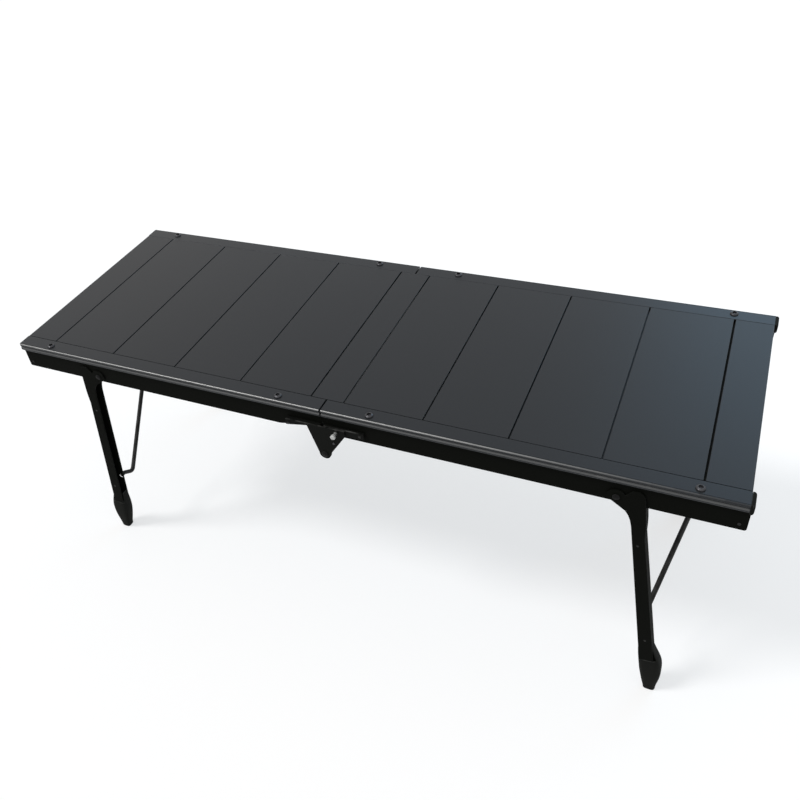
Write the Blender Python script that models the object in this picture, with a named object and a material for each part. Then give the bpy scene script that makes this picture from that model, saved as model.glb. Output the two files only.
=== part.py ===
"""Folding camp table: a slatted aluminium top in two halves that fold down about a centre hinge,
four splayed channel legs on pivot pins, and a crossed wire stay at each end.

Metres. X runs along the table, Y from front to back, Z up. The origin is on the floor under the
middle of the top. Left and right, front and back are as seen from the front.
"""

import math

import bmesh
import bpy
from mathutils import Matrix, Vector

# The top
TABLE_HEIGHT = 0.455
SLATS_PER_HALF = 4
SLAT_WIDTH = 0.125
SLAT_LENGTH = 0.3664
SLAT_THICKNESS = 0.012
SHEET = 0.0022
SLAT_RIBS = 2
SLAT_CHAMFER = 0.0006
SEAM = 0.0006
CENTRE_STRIP = 0.0538
END_STRIP = 0.0562

# The long rails that hold the slats
RAIL_WIDTH = 0.0265
RAIL_HEIGHT = 0.015
RAIL_WALL = 0.0024
RAIL_SKIN = 0.0028
LEDGE = 0.008
BEAD_RADIUS = 0.0024
LOWER_BEAD_RADIUS = 0.0018
GROOVE_DEPTH = 0.0021
CAP_LENGTH = 0.005
CAP_ROUNDING = 0.003
CAP_TONGUE = 0.012

# The box tubes under the rails, and the cross tubes between them
APRON_SETBACK = 0.0047
APRON_WIDTH = 0.0145
APRON_HEIGHT = 0.034
APRON_WALL = 0.0016
APRON_OVERHANG = 0.003
APRON_NOTCH_START = 0.077
APRON_NOTCH_END = 0.026
APRON_NOTCH_RISE = 0.0105
CROSS_WIDTH = 0.018
CROSS_HEIGHT = 0.0204
CROSS_WALL = 0.0015
CROSS_FROM_SPLIT = 0.003
CROSS_FROM_END = 0.0055

# The button-head screws that clamp rail to tube
SCREW_HEAD_RADIUS = 0.006
SCREW_HEAD_HEIGHT = 0.0029
SCREW_SHANK_RADIUS = 0.0026
SCREW_REACH = 0.0045
SCREW_SOCKET_RADIUS = 0.0021
SCREW_FROM_CENTRE = 0.076
SCREW_FROM_END = 0.0585

# The legs
PIVOT_FROM_END = 0.1555
PIVOT_DROP = 0.0385
LEG_SPLAY = math.radians(8.25)
LEG_OFFSET = 0.0167
LEG_WIDTH = 0.0161
LEG_TAPER = 0.013
LEG_LENGTH = 0.345
FLANGE = 0.0024
WEB = 0.0026
LOBE_RADIUS = 0.0125
KNUCKLE_PROUD = 0.0035
STOP_SHELF = 0.004
STOP_SHELF_REACH = 0.010
PIVOT_PIN_RADIUS = 0.003
PIVOT_HEAD_RADIUS = 0.005
PIVOT_HEAD_HEIGHT = 0.0015

# The plastic feet
FOOT_TONGUE = 0.03
FOOT_SWELL_OUT = 0.0098
FOOT_SWELL_BACK = 0.0042
FOOT_PAD_LENGTH = 0.013
FOOT_PAD_WIDTH = 0.0125

# The crossed wire stays
WIRE_RADIUS = 0.004
WIRE_BEND = 0.0095
WIRE_PASS_GAP = 0.001
STAY_FROM_END = 0.0165
STAY_BAR_HALF = 0.1545
STAY_STANDOFF = 0.027
STAY_HOOK_ALONG = 0.2833
STAY_HOOK_ACROSS = 0.0068
STAY_HOOK_RISE = 0.012
STAY_PEG = 0.008
CLIP_LENGTH = 0.08
CLIP_WALL = 0.0021
WIRE_SIDES = 8

# The centre hinge
HINGE_DROP = 0.085
HINGE_PLATE = 0.0024
HINGE_TIP_RADIUS = 0.0095
HINGE_STRIP_TOP = 0.0292
HINGE_STRIP_BOTTOM = 0.0397
HINGE_STRIP_LEFT = 0.0605
HINGE_STRIP_RIGHT = 0.069
HINGE_FLANK_LEFT = 0.024
HINGE_FLANK_RIGHT = 0.039
HINGE_STRIP_RISE = 0.0072
HINGE_PIN_RADIUS = 0.003
HINGE_HEAD_RADIUS = 0.0055
HINGE_HEAD_HEIGHT = 0.002
HINGE_TAIL_RADIUS = 0.004
PAD_INSET = 0.0005

# The push pin that locks the centre hinge
LATCH_FROM_SPLIT = 0.0255
LATCH_DROP = 0.0335
LATCH_STEM_RADIUS = 0.0025
LATCH_KNOB_RADIUS = 0.0041
LATCH_KNOB_LENGTH = 0.0046
LATCH_TRAVEL = 0.003
LATCH_STANDOFF = 0.0037
LATCH_BOSS_RADIUS = 0.0042
LATCH_BOSS_HEIGHT = 0.002

# Clearances: between pieces that bear on each other, and round a pin in its hole
GAP = 0.0003
PIN_GAP = 0.0001
WIRE_GAP = 0.00015

ROUND = 20
OVERCUT = 0.004

# Sizes that follow from the ones above
PITCH = SLAT_WIDTH + SEAM
HALF_LENGTH = CENTRE_STRIP / 2 + SEAM / 2 + SLATS_PER_HALF * PITCH + SEAM / 2 + END_STRIP
HALF_DEPTH = SLAT_LENGTH / 2 + GAP + RAIL_WIDTH
APRON_OUT = APRON_SETBACK
APRON_IN = APRON_SETBACK + APRON_WIDTH
APRON_TOP = TABLE_HEIGHT - RAIL_HEIGHT - GAP
APRON_BOTTOM = APRON_TOP - APRON_HEIGHT
CROSS_TOP = TABLE_HEIGHT - RAIL_HEIGHT - 2 * GAP
CROSS_BOTTOM = CROSS_TOP - CROSS_HEIGHT
PIVOT_X = HALF_LENGTH - PIVOT_FROM_END
PIVOT_Z = TABLE_HEIGHT - PIVOT_DROP
FLANGE_OUT = APRON_OUT - GAP - FLANGE
FLANGE_IN = APRON_IN + GAP + FLANGE
HINGE_Z = TABLE_HEIGHT - HINGE_DROP
INNER_PLATE_BACK = FLANGE_OUT - GAP - 0.0002
INNER_PLATE_FRONT = INNER_PLATE_BACK - HINGE_PLATE
OUTER_PLATE_BACK = INNER_PLATE_FRONT - GAP
OUTER_PLATE_FRONT = OUTER_PLATE_BACK - HINGE_PLATE
SCREW_Y = APRON_OUT + APRON_WIDTH / 2
CLIP_HOLE = WIRE_RADIUS + WIRE_GAP
STAY_X = HALF_LENGTH - STAY_FROM_END
STAY_Z = CROSS_BOTTOM - GAP - CLIP_WALL / 2 - CLIP_HOLE
LATCH_X = LATCH_FROM_SPLIT
LATCH_Z = TABLE_HEIGHT - LATCH_DROP
LATCH_HOLE = LATCH_STEM_RADIUS + PIN_GAP

materials = {}


def material(name, colour, roughness, metallic):
    """One Principled material, made once."""
    if name not in materials:
        made = bpy.data.materials.new(name)
        made.use_nodes = True
        shader = made.node_tree.nodes["Principled BSDF"]
        shader.inputs["Base Color"].default_value = (*colour, 1.0)
        shader.inputs["Roughness"].default_value = roughness
        shader.inputs["Metallic"].default_value = metallic
        made.diffuse_color = (*colour, 1.0)
        materials[name] = made
    return materials[name]


def top_paint(name):
    return material(name, (0.075, 0.078, 0.085), 0.45, 0.6)


def frame_paint(name):
    return material(name, (0.018, 0.019, 0.021), 0.42, 0.3)


def bare_steel(name):
    return material(name, (0.55, 0.55, 0.56), 0.3, 1.0)


def dark_steel(name):
    return material(name, (0.08, 0.08, 0.085), 0.35, 1.0)


def plastic(name):
    return material(name, (0.02, 0.021, 0.022), 0.6, 0.0)


def as_object(name, mesh_data, paint, smooth=None):
    """Puts a bmesh in the scene under its name, with its own material."""
    bmesh.ops.recalc_face_normals(mesh_data, faces=mesh_data.faces)
    mesh = bpy.data.meshes.new(name)
    mesh_data.to_mesh(mesh)
    mesh_data.free()
    if smooth is not None:
        mesh.shade_smooth()
        mesh.set_sharp_from_angle(angle=math.radians(smooth))
    made = bpy.data.objects.new(name, mesh)
    if paint is not None:
        mesh.materials.append(paint)
    bpy.context.scene.collection.objects.link(made)
    return made


def helper(made):
    """Marks an object as a cutter: it shapes other pieces and isn't one."""
    made.hide_render = True
    made.display_type = "WIRE"
    return made


def boolean(target, other, operation="DIFFERENCE"):
    step = target.modifiers.new(other.name, "BOOLEAN")
    step.operation = operation
    step.solver = "EXACT"
    step.object = other
    return target


def prism_mesh(outline, low, high, axis):
    """Extrudes a flat outline between two positions on X, Y or Z. The outline's two numbers are
    the other two coordinates, in X, Y, Z order."""
    made = bmesh.new()

    def point(pair, along):
        a, b = pair
        return {"X": (along, a, b), "Y": (a, along, b), "Z": (a, b, along)}[axis]

    base = made.faces.new([made.verts.new(point(pair, low)) for pair in outline])
    moved = bmesh.ops.extrude_face_region(made, geom=[base])
    step = {"X": (high - low, 0, 0), "Y": (0, high - low, 0), "Z": (0, 0, high - low)}[axis]
    verts = [item for item in moved["geom"] if isinstance(item, bmesh.types.BMVert)]
    bmesh.ops.translate(made, vec=step, verts=verts)
    return made


def box_mesh(low, high):
    corners = [(low[0], low[1]), (high[0], low[1]), (high[0], high[1]), (low[0], high[1])]
    return prism_mesh(corners, low[2], high[2], "Z")


def turned_mesh(profile, base, axis, segments=ROUND):
    """Turns (radius, height) pairs about a line through base along axis. The profile runs from
    the axis at the bottom, round the outside, to the axis at the top."""
    made = bmesh.new()
    axis = Vector(axis).normalized()
    side = axis.orthogonal().normalized()
    third = axis.cross(side)
    base = Vector(base)
    rings = []
    for radius, height in profile:
        middle = base + axis * height
        if radius < 1e-9:
            rings.append([made.verts.new(middle)])
            continue
        ring = []
        for index in range(segments):
            angle = 2 * math.pi * index / segments
            ring.append(made.verts.new(middle + (side * math.cos(angle) + third * math.sin(angle)) * radius))
        rings.append(ring)
    for lower, upper in zip(rings, rings[1:]):
        for index in range(segments):
            after = (index + 1) % segments
            if len(lower) == 1:
                made.faces.new([lower[0], upper[after], upper[index]])
            elif len(upper) == 1:
                made.faces.new([lower[index], lower[after], upper[0]])
            else:
                made.faces.new([lower[index], lower[after], upper[after], upper[index]])
    return made


def rod_cutter(name, base, axis, radius, length, segments=ROUND):
    profile = [(0, 0), (radius, 0), (radius, length), (0, length)]
    return helper(as_object(name, turned_mesh(profile, base, axis, segments), None))


def arc(centre, radius, start, end, steps):
    """Points on an arc, in degrees from the first coordinate's axis towards the second's."""
    found = []
    for index in range(steps + 1):
        angle = math.radians(start + (end - start) * index / steps)
        found.append((centre[0] + radius * math.cos(angle), centre[1] + radius * math.sin(angle)))
    return found


def side_y(side, inward):
    """World Y of a place this far in from the rail's outer face, at the front (-1) or back (1)."""
    return side * (HALF_DEPTH - inward)


def set_origin(made, origin):
    """Moves an object's origin to a point without moving its shape."""
    made.data.transform(Matrix.Translation(-Vector(origin)))
    made.location = origin
    return made


# Rails and tubes


def rail_outline():
    """The rail's section as (distance in from its outer face, height below the top)."""
    bead = (BEAD_RADIUS, -BEAD_RADIUS)
    groove = -2 * BEAD_RADIUS - GROOVE_DEPTH / 2
    lower = (LOWER_BEAD_RADIUS, groove - GROOVE_DEPTH / 2 - LOWER_BEAD_RADIUS * 0.8)
    foot = GROOVE_DEPTH + 0.0012
    outline = arc(bead, BEAD_RADIUS, 90, 215, 6)
    outline += [(GROOVE_DEPTH, groove)]
    outline += arc(lower, LOWER_BEAD_RADIUS, 140, 245, 4)
    inner = foot + RAIL_WALL
    outline += [(foot, lower[1] - LOWER_BEAD_RADIUS * 1.2), (foot, -RAIL_HEIGHT), (inner, -RAIL_HEIGHT)]
    outline += [(inner, -RAIL_SKIN), (RAIL_WIDTH - RAIL_WALL, -RAIL_SKIN)]
    outline += [(RAIL_WIDTH - RAIL_WALL, -RAIL_HEIGHT), (RAIL_WIDTH + LEDGE, -RAIL_HEIGHT)]
    outline += [(RAIL_WIDTH + LEDGE, -SLAT_THICKNESS - GAP), (RAIL_WIDTH, -SLAT_THICKNESS - GAP)]
    outline += [(RAIL_WIDTH, 0)]
    return outline


def screw_places(hand):
    return [hand * SCREW_FROM_CENTRE, hand * (HALF_LENGTH - SCREW_FROM_END)]


def make_rail(name, hand, side, cutters):
    outline = [(side_y(side, inward), TABLE_HEIGHT + height) for inward, height in rail_outline()]
    ends = sorted((hand * SEAM / 2, hand * HALF_LENGTH))
    made = as_object(name, prism_mesh(outline, ends[0], ends[1], "X"), top_paint(name), 40)
    for cutter in cutters:
        boolean(made, cutter)
    return made


def make_tube(name, low, high, wall, along, paint):
    """A box tube, open at both ends along X or Y."""
    made = as_object(name, box_mesh(low, high), paint)
    inner_low = [value + wall for value in low]
    inner_high = [value - wall for value in high]
    index = "XYZ".index(along)
    inner_low[index] = low[index] - OVERCUT
    inner_high[index] = high[index] + OVERCUT
    bore = helper(as_object(name + "_bore", box_mesh(inner_low, inner_high), None))
    return boolean(made, bore)


def make_apron(name, hand, side, cutters):
    ends = sorted((hand * SEAM / 2, hand * (HALF_LENGTH + APRON_OVERHANG)))
    sides = sorted((side_y(side, APRON_OUT), side_y(side, APRON_IN)))
    low = (ends[0], sides[0], APRON_BOTTOM)
    high = (ends[1], sides[1], APRON_TOP)
    made = make_tube(name, low, high, APRON_WALL, "X", frame_paint(name))
    for cutter in cutters:
        boolean(made, cutter)
    if hand < 0:
        # The left tubes' lower edge rises towards the hinge, as the plate's does
        rise = APRON_BOTTOM + APRON_NOTCH_RISE
        notch = [(-APRON_NOTCH_START, APRON_BOTTOM), (-APRON_NOTCH_END, rise), (OVERCUT, rise)]
        notch += [(OVERCUT, APRON_BOTTOM - OVERCUT), (-APRON_NOTCH_START, APRON_BOTTOM - OVERCUT)]
        wide = (sides[0] - OVERCUT, sides[1] + OVERCUT)
        boolean(made, helper(as_object(name + "_notch", prism_mesh(notch, *wide, "Y"), None)))
    return made


def make_cross(name, hand, from_x):
    reach = HALF_DEPTH - APRON_IN - GAP
    ends = sorted((hand * from_x, hand * (from_x + CROSS_WIDTH)))
    low = (ends[0], -reach, CROSS_BOTTOM)
    high = (ends[1], reach, CROSS_TOP)
    return make_tube(name, low, high, CROSS_WALL, "Y", frame_paint(name))


# Slats and strips


def make_slat(name, left, width, ribs=SLAT_RIBS):
    """One extruded plank, open below, with a skirt at each edge and ribs between."""
    low = TABLE_HEIGHT - SLAT_THICKNESS
    under = TABLE_HEIGHT - SHEET
    right = left + width
    outline = [(left, TABLE_HEIGHT - SLAT_CHAMFER), (left + SLAT_CHAMFER, TABLE_HEIGHT)]
    outline += [(right - SLAT_CHAMFER, TABLE_HEIGHT), (right, TABLE_HEIGHT - SLAT_CHAMFER)]
    outline += [(right, low), (right - SHEET, low), (right - SHEET, under)]
    for index in range(ribs, 0, -1):
        middle = left + width * index / (ribs + 1)
        outline += [(middle + SHEET / 2, under), (middle + SHEET / 2, low)]
        outline += [(middle - SHEET / 2, low), (middle - SHEET / 2, under)]
    outline += [(left + SHEET, under), (left + SHEET, low), (left, low)]
    reach = SLAT_LENGTH / 2
    return as_object(name, prism_mesh(outline, -reach, reach, "Y"), top_paint(name))


# Screws, pins and caps


def make_screw(name, x, side):
    shank = SCREW_REACH + RAIL_HEIGHT
    top = GAP + SCREW_HEAD_HEIGHT
    profile = [(0, -shank), (SCREW_SHANK_RADIUS, -shank), (SCREW_SHANK_RADIUS, GAP)]
    profile += [(SCREW_HEAD_RADIUS, GAP), (SCREW_HEAD_RADIUS, GAP + SCREW_HEAD_HEIGHT * 0.3)]
    profile += [(SCREW_HEAD_RADIUS * 0.86, GAP + SCREW_HEAD_HEIGHT * 0.75)]
    profile += [(SCREW_HEAD_RADIUS * 0.6, top), (SCREW_SOCKET_RADIUS, top)]
    profile += [(SCREW_SOCKET_RADIUS, GAP + SCREW_HEAD_HEIGHT * 0.35), (0, GAP + SCREW_HEAD_HEIGHT * 0.35)]
    base = (x, side_y(side, SCREW_Y), TABLE_HEIGHT)
    return as_object(name, turned_mesh(profile, base, (0, 0, 1), 16), dark_steel(name), 35)


def make_rivet(name, x, z, side, front, back, shank, head, tail, thick, paint):
    """A headed pin along Y from this far out to this far in, with a head outside each end."""
    profile = [(0, front - GAP - thick), (head * 0.8, front - GAP - thick)]
    profile += [(head, front - GAP - thick * 0.6), (head, front - GAP), (shank, front - GAP)]
    profile += [(shank, back + GAP), (tail, back + GAP), (tail, back + GAP + thick * 0.8)]
    profile += [(tail * 0.8, back + GAP + thick), (0, back + GAP + thick)]
    base = (x, side_y(side, 0), z)
    return as_object(name, turned_mesh(profile, base, (0, -side, 0)), paint, 35)


def make_cap(name, hand, side):
    """A plastic cap over the rail's end, with a tongue up inside the rail."""
    outer = sorted((hand * (HALF_LENGTH + GAP), hand * (HALF_LENGTH + GAP + CAP_LENGTH)))
    sides = sorted((side_y(side, 0), side_y(side, RAIL_WIDTH)))
    shell = box_mesh(
        (outer[0], sides[0], TABLE_HEIGHT - RAIL_HEIGHT), (outer[1], sides[1], TABLE_HEIGHT)
    )
    far = outer[1] if hand > 0 else outer[0]
    rim = [
        edge
        for edge in shell.edges
        if all(abs(vert.co.x - far) < 1e-6 for vert in edge.verts)
        or all(
            abs(vert.co.y - side_y(side, 0)) < 1e-6 and abs(vert.co.z - TABLE_HEIGHT) < 1e-6
            for vert in edge.verts
        )
    ]
    bmesh.ops.bevel(
        shell, geom=rim, offset=CAP_ROUNDING, segments=3, profile=0.5, affect="EDGES", clamp_overlap=True
    )
    made = as_object(name, shell, plastic(name), 50)
    inner = GROOVE_DEPTH + 0.0012 + RAIL_WALL + GAP
    tongue_y = sorted((side_y(side, inner), side_y(side, RAIL_WIDTH - RAIL_WALL - GAP)))
    tongue_x = sorted((hand * (HALF_LENGTH - CAP_TONGUE), hand * (HALF_LENGTH + CAP_LENGTH / 2)))
    tongue = box_mesh(
        (tongue_x[0], tongue_y[0], TABLE_HEIGHT - RAIL_HEIGHT + GAP),
        (tongue_x[1], tongue_y[1], TABLE_HEIGHT - RAIL_SKIN - GAP),
    )
    return boolean(made, helper(as_object(name + "_tongue", tongue, None)), "UNION")


# Legs and feet, laid out from the pivot: s runs down the leg and v outwards across it


def leg_point(hand, s, v):
    x = PIVOT_X + s * math.sin(LEG_SPLAY) + v * math.cos(LEG_SPLAY)
    z = PIVOT_Z - s * math.cos(LEG_SPLAY) + v * math.sin(LEG_SPLAY)
    return (hand * x, z)


def leg_outer(s):
    return LEG_OFFSET + LEG_WIDTH + LEG_TAPER * s


def leg_outline():
    """The leg seen from the front, as (s, v): a round lobe at the pivot, the knuckle, the shank."""
    outline = arc((0, 0), LOBE_RADIUS, -82, -252, 12)
    outer = leg_outer(0) + KNUCKLE_PROUD
    shoulder = -LOBE_RADIUS * 0.72
    outline += [(shoulder - 0.004, outer * 0.62), (shoulder - 0.0035, outer * 0.86)]
    outline += [(shoulder, outer * 0.97), (shoulder + 0.006, outer + 0.0012)]
    outline += [(0.02, outer + 0.0006), (0.048, leg_outer(0.048) + KNUCKLE_PROUD * 0.8)]
    outline += [(0.060, leg_outer(0.06) + KNUCKLE_PROUD * 0.5), (0.074, leg_outer(0.074))]
    outline += [(LEG_LENGTH, leg_outer(LEG_LENGTH)), (LEG_LENGTH, LEG_OFFSET)]
    for share_s, share_v in ((0.052, 1.0), (0.040, 0.94), (0.032, 0.83), (0.024, 0.62)):
        outline.append((share_s, LEG_OFFSET * share_v))
    return outline


def make_leg(name, hand, side):
    y_ends = sorted((side_y(side, FLANGE_OUT), side_y(side, FLANGE_IN)))
    outline = [leg_point(hand, s, v) for s, v in leg_outline()]
    made = as_object(name, prism_mesh(outline, y_ends[0], y_ends[1], "Y"), frame_paint(name), 30)

    # The channel between the two flanges: open inboard, and open above round the tube
    far_in = PIVOT_X - 2 * leg_outer(0)
    far_out = PIVOT_X + 3 * leg_outer(0)
    shelf_x = PIVOT_X + leg_outer(0) - STOP_SHELF_REACH
    shelf_z = APRON_BOTTOM - GAP
    wall_top = (shelf_z - STOP_SHELF - PIVOT_Z) / -math.cos(LEG_SPLAY)
    channel = [(hand * far_in, TABLE_HEIGHT), (hand * far_out, TABLE_HEIGHT)]
    channel += [(hand * far_out, shelf_z), (hand * shelf_x, shelf_z)]
    channel += [(hand * shelf_x, shelf_z - STOP_SHELF)]
    top = leg_point(hand, wall_top + 0.006, leg_outer(wall_top + 0.006) - WEB)
    channel += [(top[0], shelf_z - STOP_SHELF), top]
    channel += [leg_point(hand, LEG_LENGTH + OVERCUT, leg_outer(LEG_LENGTH) - WEB)]
    channel += [leg_point(hand, LEG_LENGTH + OVERCUT, LEG_OFFSET - 0.05)]
    inner = sorted((side_y(side, FLANGE_OUT + FLANGE), side_y(side, FLANGE_IN - FLANGE)))
    boolean(made, helper(as_object(name + "_channel", prism_mesh(channel, inner[0], inner[1], "Y"), None)))

    start = side_y(side, FLANGE_OUT - OVERCUT)
    through = FLANGE_IN - FLANGE_OUT + 2 * OVERCUT
    pivot = rod_cutter(
        name + "_pivot_hole", (hand * PIVOT_X, start, PIVOT_Z), (0, -side, 0),
        PIVOT_PIN_RADIUS + PIN_GAP, through,
    )
    hook_x, hook_z = leg_point(hand, STAY_HOOK_ALONG, LEG_OFFSET + STAY_HOOK_ACROSS)
    # The stay's hook enters through the inner flange alone
    middle = (FLANGE_OUT + FLANGE_IN) / 2
    hook = rod_cutter(
        name + "_hook_hole", (hook_x, side_y(side, middle), hook_z), (0, -side, 0),
        WIRE_RADIUS + WIRE_GAP, FLANGE_IN - middle + OVERCUT, 16,
    )
    boolean(boolean(made, pivot), hook)
    set_origin(made, (hand * PIVOT_X, side_y(side, FLANGE_OUT), PIVOT_Z))
    return made


def foot_sections():
    """Sections down the foot: (s, tilt share, v low, v high, front, back)."""
    end = LEG_LENGTH
    low = LEG_OFFSET
    high = leg_outer(end)
    front = FLANGE_OUT
    back = FLANGE_IN
    swell = FOOT_SWELL_OUT
    behind = FOOT_SWELL_BACK
    return [
        (end + GAP, 1.0, low - 0.0006, high + 0.0004, front, back + 0.0002),
        (end + 0.006, 1.0, low - 0.0013, high + swell * 0.55, front - 0.0001, back + behind * 0.6),
        (end + 0.016, 1.0, low - 0.0015, high + swell, front - 0.0001, back + behind),
        (end + 0.026, 1.0, low - 0.001, high + swell, front, back + behind),
        (end + 0.042, 1.0, low + 0.0008, high + swell * 0.87, front + 0.0004, back + behind * 0.7),
        (end + 0.060, 0.8, low + 0.0036, high + swell * 0.35, front + 0.0018, back - 0.0005),
    ]


def make_foot(name, hand, side):
    made = bmesh.new()
    rings = []
    count = 16
    for s, tilt, v_low, v_high, front, back in foot_sections():
        ring = []
        middle_v = (v_low + v_high) / 2
        middle_y = (front + back) / 2
        for index in range(count):
            angle = 2 * math.pi * (index + 0.5) / count
            cos, sin = math.cos(angle), math.sin(angle)
            across = math.copysign(abs(cos) ** 0.5, cos) * (v_high - v_low) / 2
            deep = math.copysign(abs(sin) ** 0.5, sin) * (back - front) / 2
            x, z = leg_point(hand, s, middle_v)
            lean = LEG_SPLAY * tilt
            x += hand * across * math.cos(lean)
            z += across * math.sin(lean)
            ring.append(made.verts.new((x, side_y(side, middle_y + deep), z)))
        rings.append(ring)

    # The last two rings are level: a rounded edge, then the flat pad on the floor
    centre_x = leg_point(1, LEG_LENGTH + 0.081, LEG_OFFSET + 0.0125)[0]
    centre_y = (FLANGE_OUT + FLANGE_IN) / 2 + 0.0003
    for height, share in ((0.0022, 1.22), (0.0, 1.0)):
        ring = []
        for index in range(count):
            angle = 2 * math.pi * (index + 0.5) / count
            cos, sin = math.cos(angle), math.sin(angle)
            x = centre_x + math.copysign(abs(cos) ** 0.6, cos) * FOOT_PAD_LENGTH / 2 * share
            y = centre_y + math.copysign(abs(sin) ** 0.6, sin) * FOOT_PAD_WIDTH / 2 * share
            ring.append(made.verts.new((hand * x, side_y(side, y), height)))
        rings.append(ring)
    for upper, lower in zip(rings, rings[1:]):
        for index in range(count):
            after = (index + 1) % count
            made.faces.new([upper[index], upper[after], lower[after], lower[index]])
    made.faces.new(rings[0])
    made.faces.new(rings[-1])
    foot = as_object(name, made, plastic(name), 40)

    tongue_out = leg_outer(LEG_LENGTH) - WEB - GAP - 0.0002
    corners = [
        leg_point(hand, LEG_LENGTH - FOOT_TONGUE, LEG_OFFSET + 0.002),
        leg_point(hand, LEG_LENGTH - FOOT_TONGUE, tongue_out - LEG_TAPER * FOOT_TONGUE),
        leg_point(hand, LEG_LENGTH + 0.012, tongue_out - LEG_TAPER * FOOT_TONGUE),
        leg_point(hand, LEG_LENGTH + 0.012, LEG_OFFSET + 0.002),
    ]
    inner = sorted((side_y(side, FLANGE_OUT + FLANGE + GAP), side_y(side, FLANGE_IN - FLANGE - GAP)))
    tongue = helper(as_object(name + "_tongue", prism_mesh(corners, inner[0], inner[1], "Y"), None))
    return boolean(foot, tongue, "UNION")


# The crossed stay: one bent wire whose top bar turns in a clip under the end tube


def rounded(points, radius, steps=4):
    """Replaces each corner of a polyline by a short arc-like curve."""
    found = [points[0]]
    for before, corner, after in zip(points, points[1:], points[2:]):
        back = (before - corner).normalized()
        ahead = (after - corner).normalized()
        turn = math.pi - back.angle(ahead)
        reach = min(radius * math.tan(turn / 2), (before - corner).length / 2, (after - corner).length / 2)
        if turn < 0.05:
            found.append(corner)
            continue
        start, end = corner + back * reach, corner + ahead * reach
        for index in range(steps + 1):
            t = index / steps
            found.append(start * (1 - t) ** 2 + corner * 2 * t * (1 - t) + end * t**2)
    found.append(points[-1])
    return found


def tube_mesh(points, radius, sides):
    """Sweeps a round section along points, turning as little as it can."""
    made = bmesh.new()
    count = len(points)
    tangents = []
    for index in range(count):
        before, after = points[max(index - 1, 0)], points[min(index + 1, count - 1)]
        tangents.append((after - before).normalized())
    normal = tangents[0].orthogonal().normalized()
    rings = []
    for index in range(count):
        tangent = tangents[index]
        normal = (normal - tangent * normal.dot(tangent)).normalized()
        third = tangent.cross(normal)
        ring = []
        for step in range(sides):
            angle = 2 * math.pi * step / sides
            offset = (normal * math.cos(angle) + third * math.sin(angle)) * radius
            ring.append(made.verts.new(points[index] + offset))
        rings.append(ring)
    for lower, upper in zip(rings, rings[1:]):
        for step in range(sides):
            after = (step + 1) % sides
            made.faces.new([lower[step], lower[after], upper[after], upper[step]])
    made.faces.new(rings[0])
    made.faces.new(rings[-1])
    return made


def make_stay(name, hand):
    hook_x, hook_z = leg_point(hand, STAY_HOOK_ALONG, LEG_OFFSET + STAY_HOOK_ACROSS)
    tip = HALF_DEPTH - FLANGE_IN - GAP - 0.0002
    knee = HALF_DEPTH - FLANGE_IN - STAY_STANDOFF
    bar_x = hand * STAY_X
    along = Vector((bar_x - hook_x, 0, STAY_Z - hook_z)).normalized()
    out = Vector((0, 1, 0)).cross(along)
    drop = along * STAY_HOOK_RISE
    pass_by = WIRE_RADIUS + WIRE_PASS_GAP / 2

    def run(side, offset):
        """From the knee at one side up to the bar's far corner, bowed clear of the other run."""
        low = Vector((hook_x, side * knee, hook_z)) - drop
        high = Vector((bar_x, -side * STAY_BAR_HALF, STAY_Z))
        share = knee / (knee + STAY_BAR_HALF)
        found = []
        for t in (share - 0.14, share - 0.05, share + 0.05, share + 0.14):
            bow = 1.0 if abs(t - share) < 0.1 else 0.55
            found.append(low.lerp(high, t) + out * offset * bow)
        return [low, *found, high]

    front = run(-1, pass_by)
    back = run(1, -pass_by)
    peg = tip - STAY_PEG
    first = [Vector((hook_x, -tip, hook_z)), Vector((hook_x, -peg, hook_z))]
    last = [Vector((hook_x, peg, hook_z)), Vector((hook_x, tip, hook_z))]
    points = [*first, *front, *reversed(back), *last]
    made = as_object(name, tube_mesh(rounded(points, WIRE_BEND), WIRE_RADIUS, WIRE_SIDES), dark_steel(name), 50)
    return set_origin(made, (bar_x, 0, STAY_Z))


def make_clip(name, hand):
    half = CLIP_HOLE + CLIP_WALL
    low = (hand * STAY_X - half, -CLIP_LENGTH / 2, STAY_Z - half)
    high = (hand * STAY_X + half, CLIP_LENGTH / 2, CROSS_BOTTOM - GAP)
    made = as_object(name, box_mesh(low, high), plastic(name))
    base = (hand * STAY_X, -CLIP_LENGTH / 2 - OVERCUT, STAY_Z)
    hole = rod_cutter(name + "_hole", base, (0, 1, 0), CLIP_HOLE, CLIP_LENGTH + 2 * OVERCUT, 16)
    return boolean(made, hole)


# The centre hinge


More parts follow.
